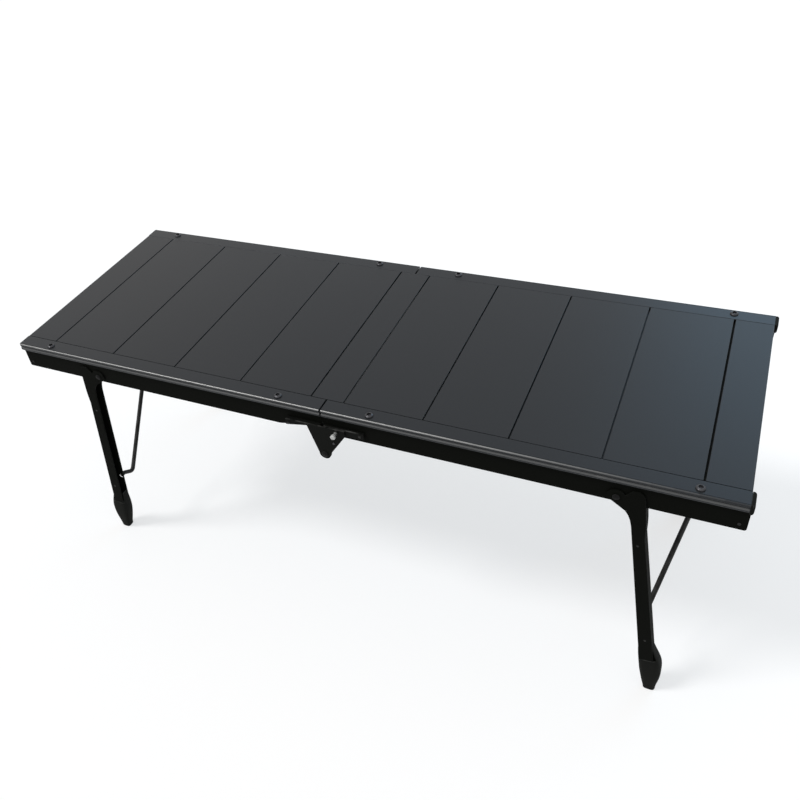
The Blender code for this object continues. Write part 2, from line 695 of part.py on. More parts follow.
def make_plate(name, side, outer):
    """A strip along the tube with a pointed arm down to the round tip at the hinge axis. The left
    half's plate lies outside the right half's and reaches across to carry the latch."""
    low = TABLE_HEIGHT - HINGE_STRIP_BOTTOM
    top = TABLE_HEIGHT - HINGE_STRIP_TOP
    tip = arc((0, HINGE_Z), HINGE_TIP_RADIUS, 8, -188, 12)
    if outer:
        strip = (-HINGE_STRIP_LEFT, HINGE_FLANK_RIGHT)
        pad_x = (-HINGE_STRIP_LEFT + PAD_INSET, -CROSS_FROM_SPLIT)
        layer = (OUTER_PLATE_FRONT, OUTER_PLATE_BACK)
        ends = [*tip, (-HINGE_FLANK_LEFT, low + HINGE_STRIP_RISE)]
    else:
        strip = (CROSS_FROM_SPLIT, HINGE_STRIP_RIGHT)
        pad_x = (CROSS_FROM_SPLIT + PAD_INSET, HINGE_STRIP_RIGHT - PAD_INSET)
        layer = (INNER_PLATE_FRONT, INNER_PLATE_BACK)
        ends = [(HINGE_FLANK_RIGHT - HINGE_PLATE, low), *tip]
    outline = [(strip[0], low), (strip[0], top), (strip[1], top), (strip[1], low), *ends]
    pad_low = low + PAD_INSET + (HINGE_STRIP_RISE if outer else 0)
    y_ends = sorted(side_y(side, value) for value in layer)
    made = as_object(name, prism_mesh(outline, y_ends[0], y_ends[1], "Y"), frame_paint(name), 30)
    pad_y = sorted((side_y(side, layer[0] + HINGE_PLATE / 2), side_y(side, APRON_OUT - GAP)))
    pad = box_mesh((pad_x[0], pad_y[0], pad_low), (pad_x[1], pad_y[1], top - PAD_INSET))
    boolean(made, helper(as_object(name + "_pad", pad, None)), "UNION")
    if outer:
        start = side_y(side, OUTER_PLATE_BACK - HINGE_PLATE / 2)
        high = HINGE_PLATE / 2 + LATCH_BOSS_HEIGHT
        profile = [(0, 0), (LATCH_BOSS_RADIUS, 0), (LATCH_BOSS_RADIUS, high), (0, high)]
        boss = turned_mesh(profile, (LATCH_X, start, LATCH_Z), (0, side, 0))
        boolean(made, helper(as_object(name + "_boss", boss, None)), "UNION")
    for word, x, z, radius in (
        ("pin", 0.0, HINGE_Z, HINGE_PIN_RADIUS + PIN_GAP),
        ("latch", LATCH_X, LATCH_Z, LATCH_HOLE),
    ):
        base = (x, side_y(side, layer[0] - LATCH_BOSS_HEIGHT - OVERCUT), z)
        reach = LATCH_BOSS_HEIGHT + APRON_OUT - layer[0] + OVERCUT
        boolean(made, rod_cutter(f"{name}_{word}_hole", base, (0, -side, 0), radius, reach))
    return made


def make_latch(name, side):
    tip = OUTER_PLATE_BACK - 0.0002
    knob = OUTER_PLATE_FRONT - LATCH_BOSS_HEIGHT - LATCH_TRAVEL - LATCH_STANDOFF
    end = knob - LATCH_KNOB_LENGTH
    profile = [(0, end), (LATCH_KNOB_RADIUS * 0.75, end), (LATCH_KNOB_RADIUS, end + 0.001)]
    profile += [(LATCH_KNOB_RADIUS, knob - 0.0008), (LATCH_KNOB_RADIUS * 0.85, knob)]
    profile += [(LATCH_STEM_RADIUS, knob), (LATCH_STEM_RADIUS, tip - 0.0005)]
    profile += [(LATCH_STEM_RADIUS * 0.8, tip), (0, tip)]
    base = (LATCH_X, side_y(side, 0), LATCH_Z)
    made = as_object(name, turned_mesh(profile, base, (0, -side, 0)), bare_steel(name), 35)
    return set_origin(made, base)


def make_empty(name, place):
    made = bpy.data.objects.new(name, None)
    made.empty_display_size = 0.02
    bpy.context.scene.collection.objects.link(made)
    made.location = place
    return made


def carry(parent, children):
    """Parents pieces to an empty without moving them. The empties are never turned."""
    start = Vector((0, 0, 0))
    above = parent
    while above is not None:
        start += above.location
        above = above.parent
    for child in children:
        child.parent = parent
        child.location = Vector(child.location) - start


def main():
    for old in list(bpy.data.objects):
        bpy.data.objects.remove(old, do_unlink=True)
    bpy.context.scene.unit_settings.system = "METRIC"

    left_half = make_empty("left_half_frame", (0, 0, HINGE_Z))
    right_half = make_empty("right_half_frame", (0, 0, HINGE_Z))
    halves = (("left", -1, left_half), ("right", 1, right_half))
    sides = (("front", -1), ("back", 1))

    for hand_name, hand, half in halves:
        pieces = []
        first = hand * (CENTRE_STRIP / 2 + SEAM) - (SLAT_WIDTH if hand < 0 else 0)
        for index in range(SLATS_PER_HALF):
            pieces.append(make_slat(f"slat_{hand_name}_{index + 1}", first + hand * PITCH * index, SLAT_WIDTH))
        end_left = HALF_LENGTH - END_STRIP if hand > 0 else -HALF_LENGTH
        pieces.append(make_slat(f"end_strip_{hand_name}", end_left, END_STRIP, 1))
        pieces.append(make_cross(f"end_tube_{hand_name}", hand, HALF_LENGTH - CROSS_FROM_END - CROSS_WIDTH))
        pieces.append(make_cross(f"centre_tube_{hand_name}", hand, CROSS_FROM_SPLIT))
        pieces.append(make_clip(f"stay_clip_{hand_name}", hand))
        if hand < 0:
            pieces.append(make_slat("centre_strip", -CENTRE_STRIP / 2, CENTRE_STRIP, 1))

        for side_name, side in sides:
            where = f"{side_name}_{hand_name}"
            holes = []
            for index, x in enumerate(screw_places(hand)):
                pieces.append(make_screw(f"rail_screw_{where}_{index + 1}", x, side))
                base = (x, side_y(side, SCREW_Y), TABLE_HEIGHT - RAIL_HEIGHT - GAP - APRON_WALL - OVERCUT)
                reach = RAIL_HEIGHT + GAP + APRON_WALL + 2 * OVERCUT
                holes.append(
                    rod_cutter(f"screw_hole_{where}_{index + 1}", base, (0, 0, 1),
                               SCREW_SHANK_RADIUS + PIN_GAP, reach, 16)
                )
            start = side_y(side, APRON_OUT - OVERCUT)
            pin_hole = rod_cutter(f"pivot_hole_{where}", (hand * PIVOT_X, start, PIVOT_Z), (0, -side, 0),
                                  PIVOT_PIN_RADIUS + PIN_GAP, APRON_WIDTH + 2 * OVERCUT)
            pieces.append(make_rail(f"rail_{where}", hand, side, holes))
            pieces.append(make_apron(f"apron_{where}", hand, side, [*holes, pin_hole]))
            pieces.append(make_cap(f"rail_cap_{where}", hand, side))
            pieces.append(
                make_rivet(f"leg_pin_{where}", hand * PIVOT_X, PIVOT_Z, side, FLANGE_OUT, FLANGE_IN,
                           PIVOT_PIN_RADIUS, PIVOT_HEAD_RADIUS, PIVOT_HEAD_RADIUS * 0.9,
                           PIVOT_HEAD_HEIGHT, dark_steel(f"leg_pin_{where}"))
            )
            pieces.append(make_plate(f"hinge_plate_{where}", side, outer=hand < 0))
            if hand < 0:
                pieces.append(
                    make_rivet(f"hinge_pin_{side_name}", 0.0, HINGE_Z, side, OUTER_PLATE_FRONT,
                               INNER_PLATE_BACK, HINGE_PIN_RADIUS, HINGE_HEAD_RADIUS, HINGE_TAIL_RADIUS,
                               HINGE_HEAD_HEIGHT, dark_steel(f"hinge_pin_{side_name}"))
                )
                latch = make_empty(f"latch_{side_name}_slide", (LATCH_X, side_y(side, 0), LATCH_Z))
                carry(half, [latch])
                carry(latch, [make_latch(f"latch_pin_{side_name}", side)])

            leg = make_empty(f"leg_{where}_pivot", (hand * PIVOT_X, side_y(side, FLANGE_OUT), PIVOT_Z))
            carry(half, [leg])
            carry(leg, [make_leg(f"leg_{where}", hand, side), make_foot(f"foot_{where}", hand, side)])

        stay = make_empty(f"stay_{hand_name}_pivot", (hand * STAY_X, 0, STAY_Z))
        carry(half, [stay])
        carry(stay, [make_stay(f"stay_{hand_name}", hand)])
        carry(half, pieces)


main()
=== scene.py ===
# Folding camp table: a graphite slatted top on splayed black legs, stood on a pale floor.
# Metres, Z up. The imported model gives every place; the pieces here are finer shapes in those places.
import math

import bmesh
import bpy
from mathutils import Matrix, Vector


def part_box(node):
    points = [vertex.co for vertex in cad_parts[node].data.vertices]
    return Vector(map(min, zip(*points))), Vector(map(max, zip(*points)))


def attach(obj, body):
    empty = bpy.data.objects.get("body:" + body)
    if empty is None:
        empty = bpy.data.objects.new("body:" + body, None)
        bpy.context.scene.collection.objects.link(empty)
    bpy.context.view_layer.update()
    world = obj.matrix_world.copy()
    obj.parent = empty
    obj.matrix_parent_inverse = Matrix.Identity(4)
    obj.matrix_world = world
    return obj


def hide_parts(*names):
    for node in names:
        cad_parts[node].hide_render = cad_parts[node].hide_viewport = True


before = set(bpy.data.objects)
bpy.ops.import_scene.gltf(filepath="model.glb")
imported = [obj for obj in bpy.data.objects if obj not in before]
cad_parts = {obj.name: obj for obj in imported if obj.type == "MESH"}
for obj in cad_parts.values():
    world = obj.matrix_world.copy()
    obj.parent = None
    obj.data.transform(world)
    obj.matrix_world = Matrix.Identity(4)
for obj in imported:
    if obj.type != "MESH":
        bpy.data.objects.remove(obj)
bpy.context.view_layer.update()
sides = {"front": -1, "back": 1}
hands = {"left": -1, "right": 1}
corners = [(sideName + handName.title(), sideName, side, handName, hand)
           for sideName, side in sides.items() for handName, hand in hands.items()]
print("frame loaded,", len(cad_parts), "nodes")


def outward(box, axis, sign):
    # where a box ends on the side that the sign points to
    return getattr(box[sign > 0], axis)


def share(value, start, width):
    # how far a value has come along a stretch, from 0 to 1
    return min(1.0, max(0.0, (value - start) / width))


# ---- finishes

usual = {"metallic": 0.0, "specular": 0.25, "grain": 900, "grainDepth": 0.00003, "rub": 0.4, "even": 0.0,
         "drawn": None}
look = {
    "top": {"name": "graphiteSlat", "slot": "graphite_aluminium", "colour": (0.0214, 0.0230, 0.0255),
            "wearAndSheenColour": (0.09, 0.095, 0.10), "roughness": 0.40, "spread": 0.03, "metallic": 0.4,
            "grain": 1500, "grainDepth": 0.00005, "rub": 0.25, "drawn": (700.0, 2.5, 700.0)},
    # the rail's lighter colour is mostly the painted highlight along its beads, kept even along them
    "rail": {"name": "graphiteRail", "slot": "graphite_aluminium", "colour": (0.0205, 0.0225, 0.0255),
             "wearAndSheenColour": (0.235, 0.235, 0.23), "roughness": 0.36, "spread": 0.02, "metallic": 0.4,
             "grain": 1500, "grainDepth": 0.00002, "rub": 1.0, "even": 0.8, "drawn": (2.5, 1500.0, 1500.0)},
    "coat": {"name": "blackCoat", "slot": "black_aluminium", "colour": (0.0030, 0.0034, 0.0024),
             "wearAndSheenColour": (0.022, 0.023, 0.022), "roughness": 0.78, "spread": 0.06, "specular": 0.05,
             "grain": 1100, "grainDepth": 0.00008, "rub": 0.6},
    # the plate's lighter colour is mostly the painted highlight along its top edge
    "plate": {"name": "plateCoat", "slot": "black_aluminium", "colour": (0.0040, 0.0044, 0.0036),
              "wearAndSheenColour": (0.10, 0.10, 0.095), "roughness": 0.68, "spread": 0.06, "specular": 0.07,
              "grain": 1100, "grainDepth": 0.00006, "rub": 0.9},
    "darkSteel": {"name": "darkSteel", "slot": "dark_steel", "colour": (0.014, 0.014, 0.013),
                  "wearAndSheenColour": (0.09, 0.09, 0.085), "roughness": 0.4, "spread": 0.08, "metallic": 0.6},
    "screwSteel": {"name": "screwSteel", "slot": "dark_steel", "colour": (0.046, 0.046, 0.050),
                   "wearAndSheenColour": (0.16, 0.16, 0.165), "roughness": 0.34, "spread": 0.06, "metallic": 0.6},
    "blackSteel": {"name": "blackSteel", "slot": "dark_steel", "colour": (0.004, 0.004, 0.004),
                   "wearAndSheenColour": (0.03, 0.03, 0.03), "roughness": 0.55, "spread": 0.08, "specular": 0.10},
    "wire": {"name": "stayWire", "slot": "dark_steel", "colour": (0.017, 0.017, 0.016),
             "wearAndSheenColour": (0.12, 0.12, 0.12), "roughness": 0.5, "spread": 0.08, "metallic": 0.5,
             "specular": 0.15, "rub": 0.3},
    "brightSteel": {"name": "brightSteel", "slot": "bright_steel", "colour": (0.50, 0.50, 0.49),
                    "wearAndSheenColour": (0.7, 0.7, 0.7), "roughness": 0.34, "spread": 0.06, "metallic": 0.6,
                    "specular": 0.5, "grainDepth": 0.00002, "rub": 0.3},
    # the mould's lighter colour is wear on caps and clips, and the painted highlight on the boots' rims
    "mould": {"name": "blackMould", "slot": "black_plastic", "colour": (0.0052, 0.0056, 0.0044),
              "wearAndSheenColour": (0.075, 0.077, 0.072), "roughness": 0.72, "spread": 0.06, "specular": 0.08,
              "grain": 800, "grainDepth": 0.00010, "rub": 0.9},
}
texture = {"driftScale": 4.0, "dark": 0.93, "light": 1.07, "lines": 0.5, "linesLeast": 0.25, "bump": 0.35,
           "patchScale": 60.0, "patchFrom": 0.35, "patchTo": 0.7}


def feed(tree, node, values):
    # links what comes from a node's first output or from a socket, and sets the rest
    for key, value in values.items():
        if isinstance(value, bpy.types.Node):
            value = value.outputs[0]
        if isinstance(value, bpy.types.NodeSocket):
            tree.links.new(value, node.inputs[key])
        else:
            node.inputs[key].default_value = value
    return node


def makeNode(tree, kind, values=None, **settings):
    made = tree.nodes.new(kind)
    for key, value in settings.items():
        setattr(made, key, value)
    return feed(tree, made, values or {})


def mathNode(tree, operation, *values):
    return makeNode(tree, "ShaderNodeMath", dict(enumerate(values)), operation=operation)


def noiseNode(tree, vector, scale, detail=2.0):
    made = makeNode(tree, "ShaderNodeTexNoise", {"Vector": vector, "Scale": scale, "Detail": detail})
    return made.outputs["Fac"]


def mixColours(tree, factor, first, second):
    values = {"Factor": factor, "A": first, "B": second}
    return makeNode(tree, "ShaderNodeMix", values, data_type="RGBA").outputs["Result"]


def startTree(name, kind, inputs, outputs):
    # a group with named inputs and outputs: its tree, what it is given, and where it ends
    tree = bpy.data.node_groups.new(name, kind)
    for way, sockets in (("INPUT", inputs), ("OUTPUT", outputs)):
        for label, (socketKind, *values) in sockets.items():
            socket = tree.interface.new_socket(label, in_out=way, socket_type="NodeSocket" + socketKind)
            for value in values:
                socket.default_value = value
    return tree, makeNode(tree, "NodeGroupInput").outputs, makeNode(tree, "NodeGroupOutput")


def buildGrainGroup():
    # fine powder grain over a slower drift, as a height and as a mask for colour and gloss
    tree, given, end = startTree("coatGrain", "ShaderNodeTree", {
        "Vector": ["Vector"], "Grain Scale": ["Float", 1200.0], "Drift Scale": ["Float", 9.0]},
        {"Height": ["Float"], "Drift": ["Float"]})
    feed(tree, end, {"Height": noiseNode(tree, given["Vector"], given["Grain Scale"], 1.0),
                     "Drift": noiseNode(tree, given["Vector"], given["Drift Scale"], 4.0)})
    return tree


def buildWearAndSheenGroup():
    # edges worn lighter, and painted highlights where a piece sets them, from the piece's own attribute, broken
    # up by noise
    tree, given, end = startTree("edgeRub", "ShaderNodeTree", {
        "Vector": ["Vector"], "Edge": ["Float", 0.0], "Amount": ["Float", 0.5], "Evenness": ["Float", 0.0],
        "Colour": ["Color", (0.05, 0.05, 0.05, 1)], "Worn Colour": ["Color", (0.2, 0.2, 0.2, 1)]},
        {"Colour": ["Color"]})
    patches = makeNode(tree, "ShaderNodeMapRange", {
        "Value": noiseNode(tree, given["Vector"], texture["patchScale"], 3.0),
        "From Min": texture["patchFrom"], "From Max": texture["patchTo"]})
    kept = mathNode(tree, "MAXIMUM", patches, given["Evenness"])
    mask = mathNode(tree, "MULTIPLY", mathNode(tree, "MULTIPLY", kept, given["Edge"]), given["Amount"])
    feed(tree, end, {"Colour": mixColours(tree, mask, given["Colour"], given["Worn Colour"])})
    return tree


def buildDrawnGroup():
    # hair lines that run the way an extrusion was drawn: stretched noise
    tree, given, end = startTree("drawnLines", "ShaderNodeTree", {
        "Vector": ["Vector"], "Stretch": ["Vector", (900.0, 3.0, 900.0)]}, {"Lines": ["Float"]})
    values = {0: given["Vector"], 1: given["Stretch"]}
    scaled = makeNode(tree, "ShaderNodeVectorMath", values, operation="MULTIPLY")
    feed(tree, end, {"Lines": noiseNode(tree, scaled, 1.0, 3.0)})
    return tree


groups = {"grain": buildGrainGroup(), "rub": buildWearAndSheenGroup(), "drawn": buildDrawnGroup()}


def useGroup(tree, which, values):
    return makeNode(tree, "ShaderNodeGroup", values, node_tree=groups[which])


def buildFinish(settings):
    made = bpy.data.materials.new(settings["name"])
    made.use_nodes = True
    tree = made.node_tree
    place = makeNode(tree, "ShaderNodeTexCoord").outputs["Object"]
    grain = useGroup(tree, "grain", {
        "Vector": place, "Grain Scale": settings["grain"], "Drift Scale": texture["driftScale"]}).outputs
    dark, light = ([value * texture[key] for value in settings["colour"]] + [1] for key in ("dark", "light"))
    # the lighter colour is wear on edges, and the painted highlight where a piece sets one
    rub = useGroup(tree, "rub", {
        "Vector": place, "Edge": makeNode(tree, "ShaderNodeAttribute", attribute_name="rub").outputs["Fac"],
        "Amount": settings["rub"], "Evenness": settings["even"],
        "Colour": mixColours(tree, grain["Drift"], dark, light), "Worn Colour": (*settings["wearAndSheenColour"], 1)})
    gloss, height = grain["Drift"], grain["Height"]
    if settings["drawn"]:
        lines = useGroup(tree, "drawn", {"Vector": place, "Stretch": settings["drawn"]})
        gloss = mathNode(tree, "MULTIPLY_ADD", lines, texture["lines"], texture["linesLeast"])
        height = mathNode(tree, "ADD", mathNode(tree, "MULTIPLY", lines, texture["lines"]), height)
    least, most = (settings["roughness"] + sign * settings["spread"] for sign in (-1, 1))
    bump = {"Strength": texture["bump"], "Distance": settings["grainDepth"], "Height": height}
    feed(tree, tree.nodes["Principled BSDF"], {
        "Base Color": rub, "Metallic": settings["metallic"], "Specular IOR Level": settings["specular"],
        "Roughness": makeNode(tree, "ShaderNodeMapRange", {"Value": gloss, "To Min": least, "To Max": most}),
        "Normal": makeNode(tree, "ShaderNodeBump", bump)})
    return made


finish = {which: buildFinish({**usual, **settings}) for which, settings in look.items()}
print("finishes made,", len(finish))


# ---- shared making

wear = {"widest": 0.0013, "longShare": 0.5, "fullTurn": 0.7}
making = {"mergeWithin": 0.000002, "flatWithin": 0.6, "bevelFrom": 35, "roundSteps": 6, "cutterBeyond": 0.002}


def linkObject(name, data):
    made = bpy.data.objects.new(name, data)
    bpy.context.scene.collection.objects.link(made)
    return made


def fromBmesh(name, shape):
    mesh = bpy.data.meshes.new(name)
    shape.to_mesh(mesh)
    shape.free()
    return linkObject(name, mesh)


def dropHelpers(*helpers):
    for helper in helpers:
        bpy.data.objects.remove(helper, do_unlink=True)


def bakeModifiers(piece):
    # the evaluated mesh takes the place of the modifiers
    bpy.context.view_layer.update()
    final = bpy.data.meshes.new_from_object(piece.evaluated_get(bpy.context.evaluated_depsgraph_get()))
    final.name = piece.name
    piece.modifiers.clear()
    piece.data = final
    return piece


def markRub(piece):
    # narrow faces along outer edges can be rubbed bright, and broad flats can't
    shape = bmesh.new()
    shape.from_mesh(piece.data)
    values = []
    for face in shape.faces:
        longest = max(edge.calc_length() for edge in face.edges)
        turn = 0.0
        if face.calc_area() < wear["widest"] * longest:
            for edge in face.edges:
                long = edge.calc_length() > wear["longShare"] * longest
                if len(edge.link_faces) == 2 and edge.is_convex and long:
                    turn += edge.calc_face_angle(0.0)
        values.append(min(1.0, turn / wear["fullTurn"]))
    shape.free()
    layer = piece.data.attributes.new("rub", "FLOAT", "FACE")
    layer.data.foreach_set("value", values)


def dress(piece, body, which, nodes=(), smooth=38):
    piece.data.materials.clear()
    piece.data.materials.append(finish[which])
    piece.data.polygons.foreach_set("material_index", [0] * len(piece.data.polygons))
    piece.data.shade_smooth()
    piece.data.set_sharp_from_angle(angle=math.radians(smooth))
    even = piece.modifiers.new("evenShading", "WEIGHTED_NORMAL")
    even.keep_sharp = True
    bakeModifiers(piece)
    markRub(piece)
    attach(piece, body)
    if nodes:
        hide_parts(*nodes)
    return piece


def copyOfNode(name, node):
    # a merged copy of a node's loose triangles, with its flats made whole again
    shape = bmesh.new()
    shape.from_mesh(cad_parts[node].data)
    bmesh.ops.remove_doubles(shape, verts=shape.verts, dist=making["mergeWithin"])
    flat = math.radians(making["flatWithin"])
    bmesh.ops.dissolve_limit(shape, angle_limit=flat, verts=shape.verts, edges=shape.edges)
    bmesh.ops.connect_verts_concave(shape, faces=shape.faces)
    return fromBmesh(name, shape)


def softenEdges(piece, width, segments):
    step = piece.modifiers.new("softEdges", "BEVEL")
    step.width, step.segments = width, segments
    step.limit_method, step.angle_limit = "ANGLE", math.radians(making["bevelFrom"])
    step.use_clamp_overlap = True
    return bakeModifiers(piece)


def softNode(name, node, body, which, width, segments):
    return dress(softenEdges(copyOfNode(name, node), width, segments), body, which, [node])


def arcPoints(centre, radius, start, end, steps):
    found = []
    for index in range(steps + 1):
        angle = math.radians(start + (end - start) * index / steps)
        found.append((centre[0] + radius * math.cos(angle), centre[1] + radius * math.sin(angle)))
    return found


def polyCurve(name, points, closed=False):
    # a closed flat outline, across and then down from the top, or an open path in space
    curve = bpy.data.curves.new(name, "CURVE")
    curve.dimensions = "2D" if closed else "3D"
    if closed:
        curve.fill_mode = "NONE"
    spline = curve.splines.new("POLY")
    spline.points.add(len(points) - 1)
    for point, place in zip(spline.points, points):
        point.co = (*place, 0, 1) if closed else (*place, 1)
    spline.use_cyclic_u = closed
    return linkObject(name, curve)


def ringMesh(name, rings):
    # joins rings of points into a skin, closed by a face at each end; a ring of one point closes to a tip
    shape = bmesh.new()
    made = [[shape.verts.new(point) for point in ring] for ring in rings]
    count = max(len(ring) for ring in made)
    for lower, upper in zip(made, made[1:]):
        for index in range(count):
            after = (index + 1) % count
            around = [lower[index % len(lower)], lower[after % len(lower)],
                      upper[after % len(upper)], upper[index % len(upper)]]
            shape.faces.new(list(dict.fromkeys(around)))
    for ring in (made[0], made[-1]):
        if len(ring) > 1:
            shape.faces.new(ring)
    bmesh.ops.recalc_face_normals(shape, faces=shape.faces)
    return fromBmesh(name, shape)


def turned(name, profile, base, axis, segments=40):
    # (radius, height) pairs turned about a line; both ends lie on it
    axis = Vector(axis).normalized()
    side = axis.orthogonal().normalized()
    third = axis.cross(side)
    angles = [math.tau * index / segments for index in range(segments)]
    rings = []
    for radius, height in profile:
        middle = Vector(base) + axis * height
        around = [middle + (side * math.cos(a) + third * math.sin(a)) * radius for a in angles]
        rings.append(around if radius else [middle])
    return ringMesh(name, rings)


def roundCorner(piece, corner, inward, radius, reach, upright):
    # takes off what lies outside a quarter round, in plan where it stands upright and else in the side view
    (a, b), (signA, signB) = corner, inward
    beyond, steps = making["cutterBeyond"], making["roundSteps"]
    outline = [(a + signA * radius, b - signB * beyond)]
    for index in range(steps + 1):
        angle = math.radians(90 - 90 / steps * index)
        outline.append((a + signA * radius * (1 - math.cos(angle)), b + signB * radius * (1 - math.sin(angle))))
    outline += [(a - signA * beyond, b + signB * radius), (a - signA * beyond, b - signB * beyond)]
    rings = [[(x, y, level) if upright else (x, level, y) for x, y in outline] for level in reach]
    cutter = ringMesh(piece.name + "Corner", rings)
    step = piece.modifiers.new("roundCorner", "BOOLEAN")
    step.operation, step.solver, step.object = "DIFFERENCE", "EXACT", cutter
    bakeModifiers(piece)
    dropHelpers(cutter)


# ---- node trees that make what repeats

def startMeshTree(name, inputs):
    inputs = {"Geometry": ["Geometry"], **inputs, "Material": ["Material"]}
    return startTree(name, "GeometryNodeTree", inputs, {"Geometry": ["Geometry"]})


def endMeshTree(tree, given, end, shape):
    real = makeNode(tree, "GeometryNodeRealizeInstances", {0: shape})
    paint = makeNode(tree, "GeometryNodeSetMaterial", {"Geometry": real, "Material": given["Material"]})
    feed(tree, end, {0: paint})
    return tree


def objectNode(tree, source):
    return makeNode(tree, "GeometryNodeObjectInfo", {"Object": source}).outputs["Geometry"]


def vectorNode(tree, **values):
    return makeNode(tree, "ShaderNodeCombineXYZ", values)


def buildExtrusionTree():
    # a profile drawn out along Y, repeated along X, and the whole turned about Z
    tree, given, end = startMeshTree("extrudedLengths", {
        "Profile": ["Object"], "Length": ["Float", 0.1], "Steps": ["Int", 1], "Count": ["Int", 1],
        "Pitch": ["Float", 0.1], "Offset": ["Vector", (0, 0, 0)], "Turn": ["Float", 0.0]})
    half = mathNode(tree, "MULTIPLY", given["Length"], 0.5)
    path = makeNode(tree, "GeometryNodeCurvePrimitiveLine", {
        "Start": vectorNode(tree, Y=mathNode(tree, "MULTIPLY", half, -1.0)), "End": vectorNode(tree, Y=half)})
    cuts = makeNode(tree, "GeometryNodeResampleCurve", {
        "Curve": path, "Count": mathNode(tree, "ADD", given["Steps"], 1.0)}, mode="COUNT")
    skin = makeNode(tree, "GeometryNodeCurveToMesh", {
        "Curve": makeNode(tree, "GeometryNodeSetCurveNormal", {0: cuts}, mode="Z_UP"),
        "Profile Curve": objectNode(tree, given["Profile"]), "Fill Caps": True})
    row = makeNode(tree, "GeometryNodeMeshLine", {
        "Count": given["Count"], "Offset": vectorNode(tree, X=given["Pitch"])}, mode="OFFSET")
    spread = makeNode(tree, "GeometryNodeInstanceOnPoints", {"Points": row, "Instance": skin})
    place = makeNode(tree, "GeometryNodeTransform", {
        "Geometry": spread, "Translation": given["Offset"], "Rotation": vectorNode(tree, Z=given["Turn"])})
    return endMeshTree(tree, given, end, place)


def buildFastenerTree():
    # one fastener on every spot, scaled to its real size and turned to a chance angle
    tree, given, end = startMeshTree("fastenersOnSpots", {
        "Fastener": ["Object"], "Spots": ["Object"], "Radius": ["Float", 0.006], "Height": ["Float", 0.003],
        "Tilt": ["Vector", (0, 0, 0)], "Spin": ["Float", math.tau], "Seed": ["Int", 3]})
    spin = makeNode(tree, "FunctionNodeRandomValue", {3: given["Spin"], "Seed": given["Seed"]}, data_type="FLOAT")
    spread = makeNode(tree, "GeometryNodeInstanceOnPoints", {
        "Points": objectNode(tree, given["Spots"]), "Instance": objectNode(tree, given["Fastener"]),
        "Rotation": given["Tilt"],
        "Scale": vectorNode(tree, X=given["Radius"], Y=given["Radius"], Z=given["Height"])})
    lean = makeNode(tree, "GeometryNodeRotateInstances", {
        "Instances": spread, "Rotation": vectorNode(tree, Z=spin.outputs[1]), "Local Space": True})
    return endMeshTree(tree, given, end, lean)


def buildWireTree():
    # a round wire along a path
    tree, given, end = startMeshTree("wireOnPath", {
        "Path": ["Object"], "Radius": ["Float", 0.002], "Sides": ["Int", 16]})
    path = objectNode(tree, given["Path"])
    skin = makeNode(tree, "GeometryNodeCurveToMesh", {
        "Curve": makeNode(tree, "GeometryNodeSetCurveNormal", {0: path}, mode="MINIMUM_TWIST"),
        "Profile Curve": makeNode(tree, "GeometryNodeCurvePrimitiveCircle", {
            "Resolution": given["Sides"], "Radius": given["Radius"]}),
        "Fill Caps": True})
    return endMeshTree(tree, given, end, skin)


trees = {"extrusion": buildExtrusionTree(), "fastener": buildFastenerTree(), "wire": buildWireTree()}


def growFrom(name, which, values):
    # an empty mesh takes the tree, its inputs are set by identifier, and the result is kept as a plain mesh
    made = linkObject(name, bpy.data.meshes.new(name))
    step = made.modifiers.new(name, "NODES")
    step.node_group = trees[which]
    known = {item.name: item.identifier for item in trees[which].interface.items_tree if item.in_out == "INPUT"}
    for label, value in values.items():
        step[known[label]] = value
    return bakeModifiers(made)


def extrude(name, outline, values):
    profile = polyCurve(name + "Profile", outline, closed=True)
    made = growFrom(name, "extrusion", {"Profile": profile, **values})
    dropHelpers(profile)
    return made


# ---- the slats and strips

slat = {"sheet": 0.0020, "edgeRadius": 0.0005, "arcSteps": 4, "inset": 0.0005, "wideInset": 0.0019,
        "leftOver": 0.0046, "overhang": 0.0032, "endGap": 0.0004, "ribs": 2, "tongueTop": 0.0055,
        "deepTongue": 0.0088, "tongueDepth": 0.0016, "tongueReach": 0.0026,
        "seams": {"left": 0.0010, "centre": 0.0013, "right": 0.0012}}


def slatProfile(width, depth, ribs, left=0.0, tongue=True, lap=True, tongueTop=slat["tongueTop"], over=0.0):
    # across from the left edge, down from the top: a lip over the next tongue on the right
    radius, sheet = slat["edgeRadius"], slat["sheet"]
    right = width - (slat["inset"] if lap else 0.0)
    outline = arcPoints((left + radius, radius), radius, 180, 270, slat["arcSteps"])
    outline += arcPoints((right - radius, radius), radius, 270, 360, slat["arcSteps"])
    if lap:
        wall = width - slat["overhang"]
        outline += [(right, sheet), (wall, sheet), (wall, depth), (wall - sheet, depth), (wall - sheet, sheet)]
    else:
        outline += [(width, depth), (width - sheet, depth), (width - sheet, sheet)]
    outline = [(across - over if across < width / 2 else across, down) for across, down in outline]
    for index in range(ribs, 0, -1):
        middle = width * index / (ribs + 1)
        near, far = middle - sheet / 2, middle + sheet / 2
        outline += [(far, sheet), (far, depth), (near, depth), (near, sheet)]
    outline += [(sheet - over, sheet), (sheet - over, depth), (-over, depth)]
    if tongue:
        reach, low = slat["tongueReach"], tongueTop + slat["tongueDepth"]
        outline += [(0, low), (-reach, low), (-reach, tongueTop), (left, tongueTop)]
    return outline


def makeSlats(name, nodes, body, ribs=1, **edges):
    boxes = sorted((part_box(node) for node in nodes), key=lambda box: box[0].x)
    low, high = boxes[0]
    second = boxes[:2][-1][0]  # the same corner again where there is only one
    made = extrude(name, slatProfile(high.x - low.x, high.z - low.z, ribs, **edges), {
        "Length": high.y - low.y - 2 * slat["endGap"], "Steps": 1, "Count": len(boxes), "Pitch": second.x - low.x,
        "Offset": (low.x, (low.y + high.y) / 2, high.z), "Turn": 0.0, "Material": finish["top"]})
    dress(made, body, "top", nodes)


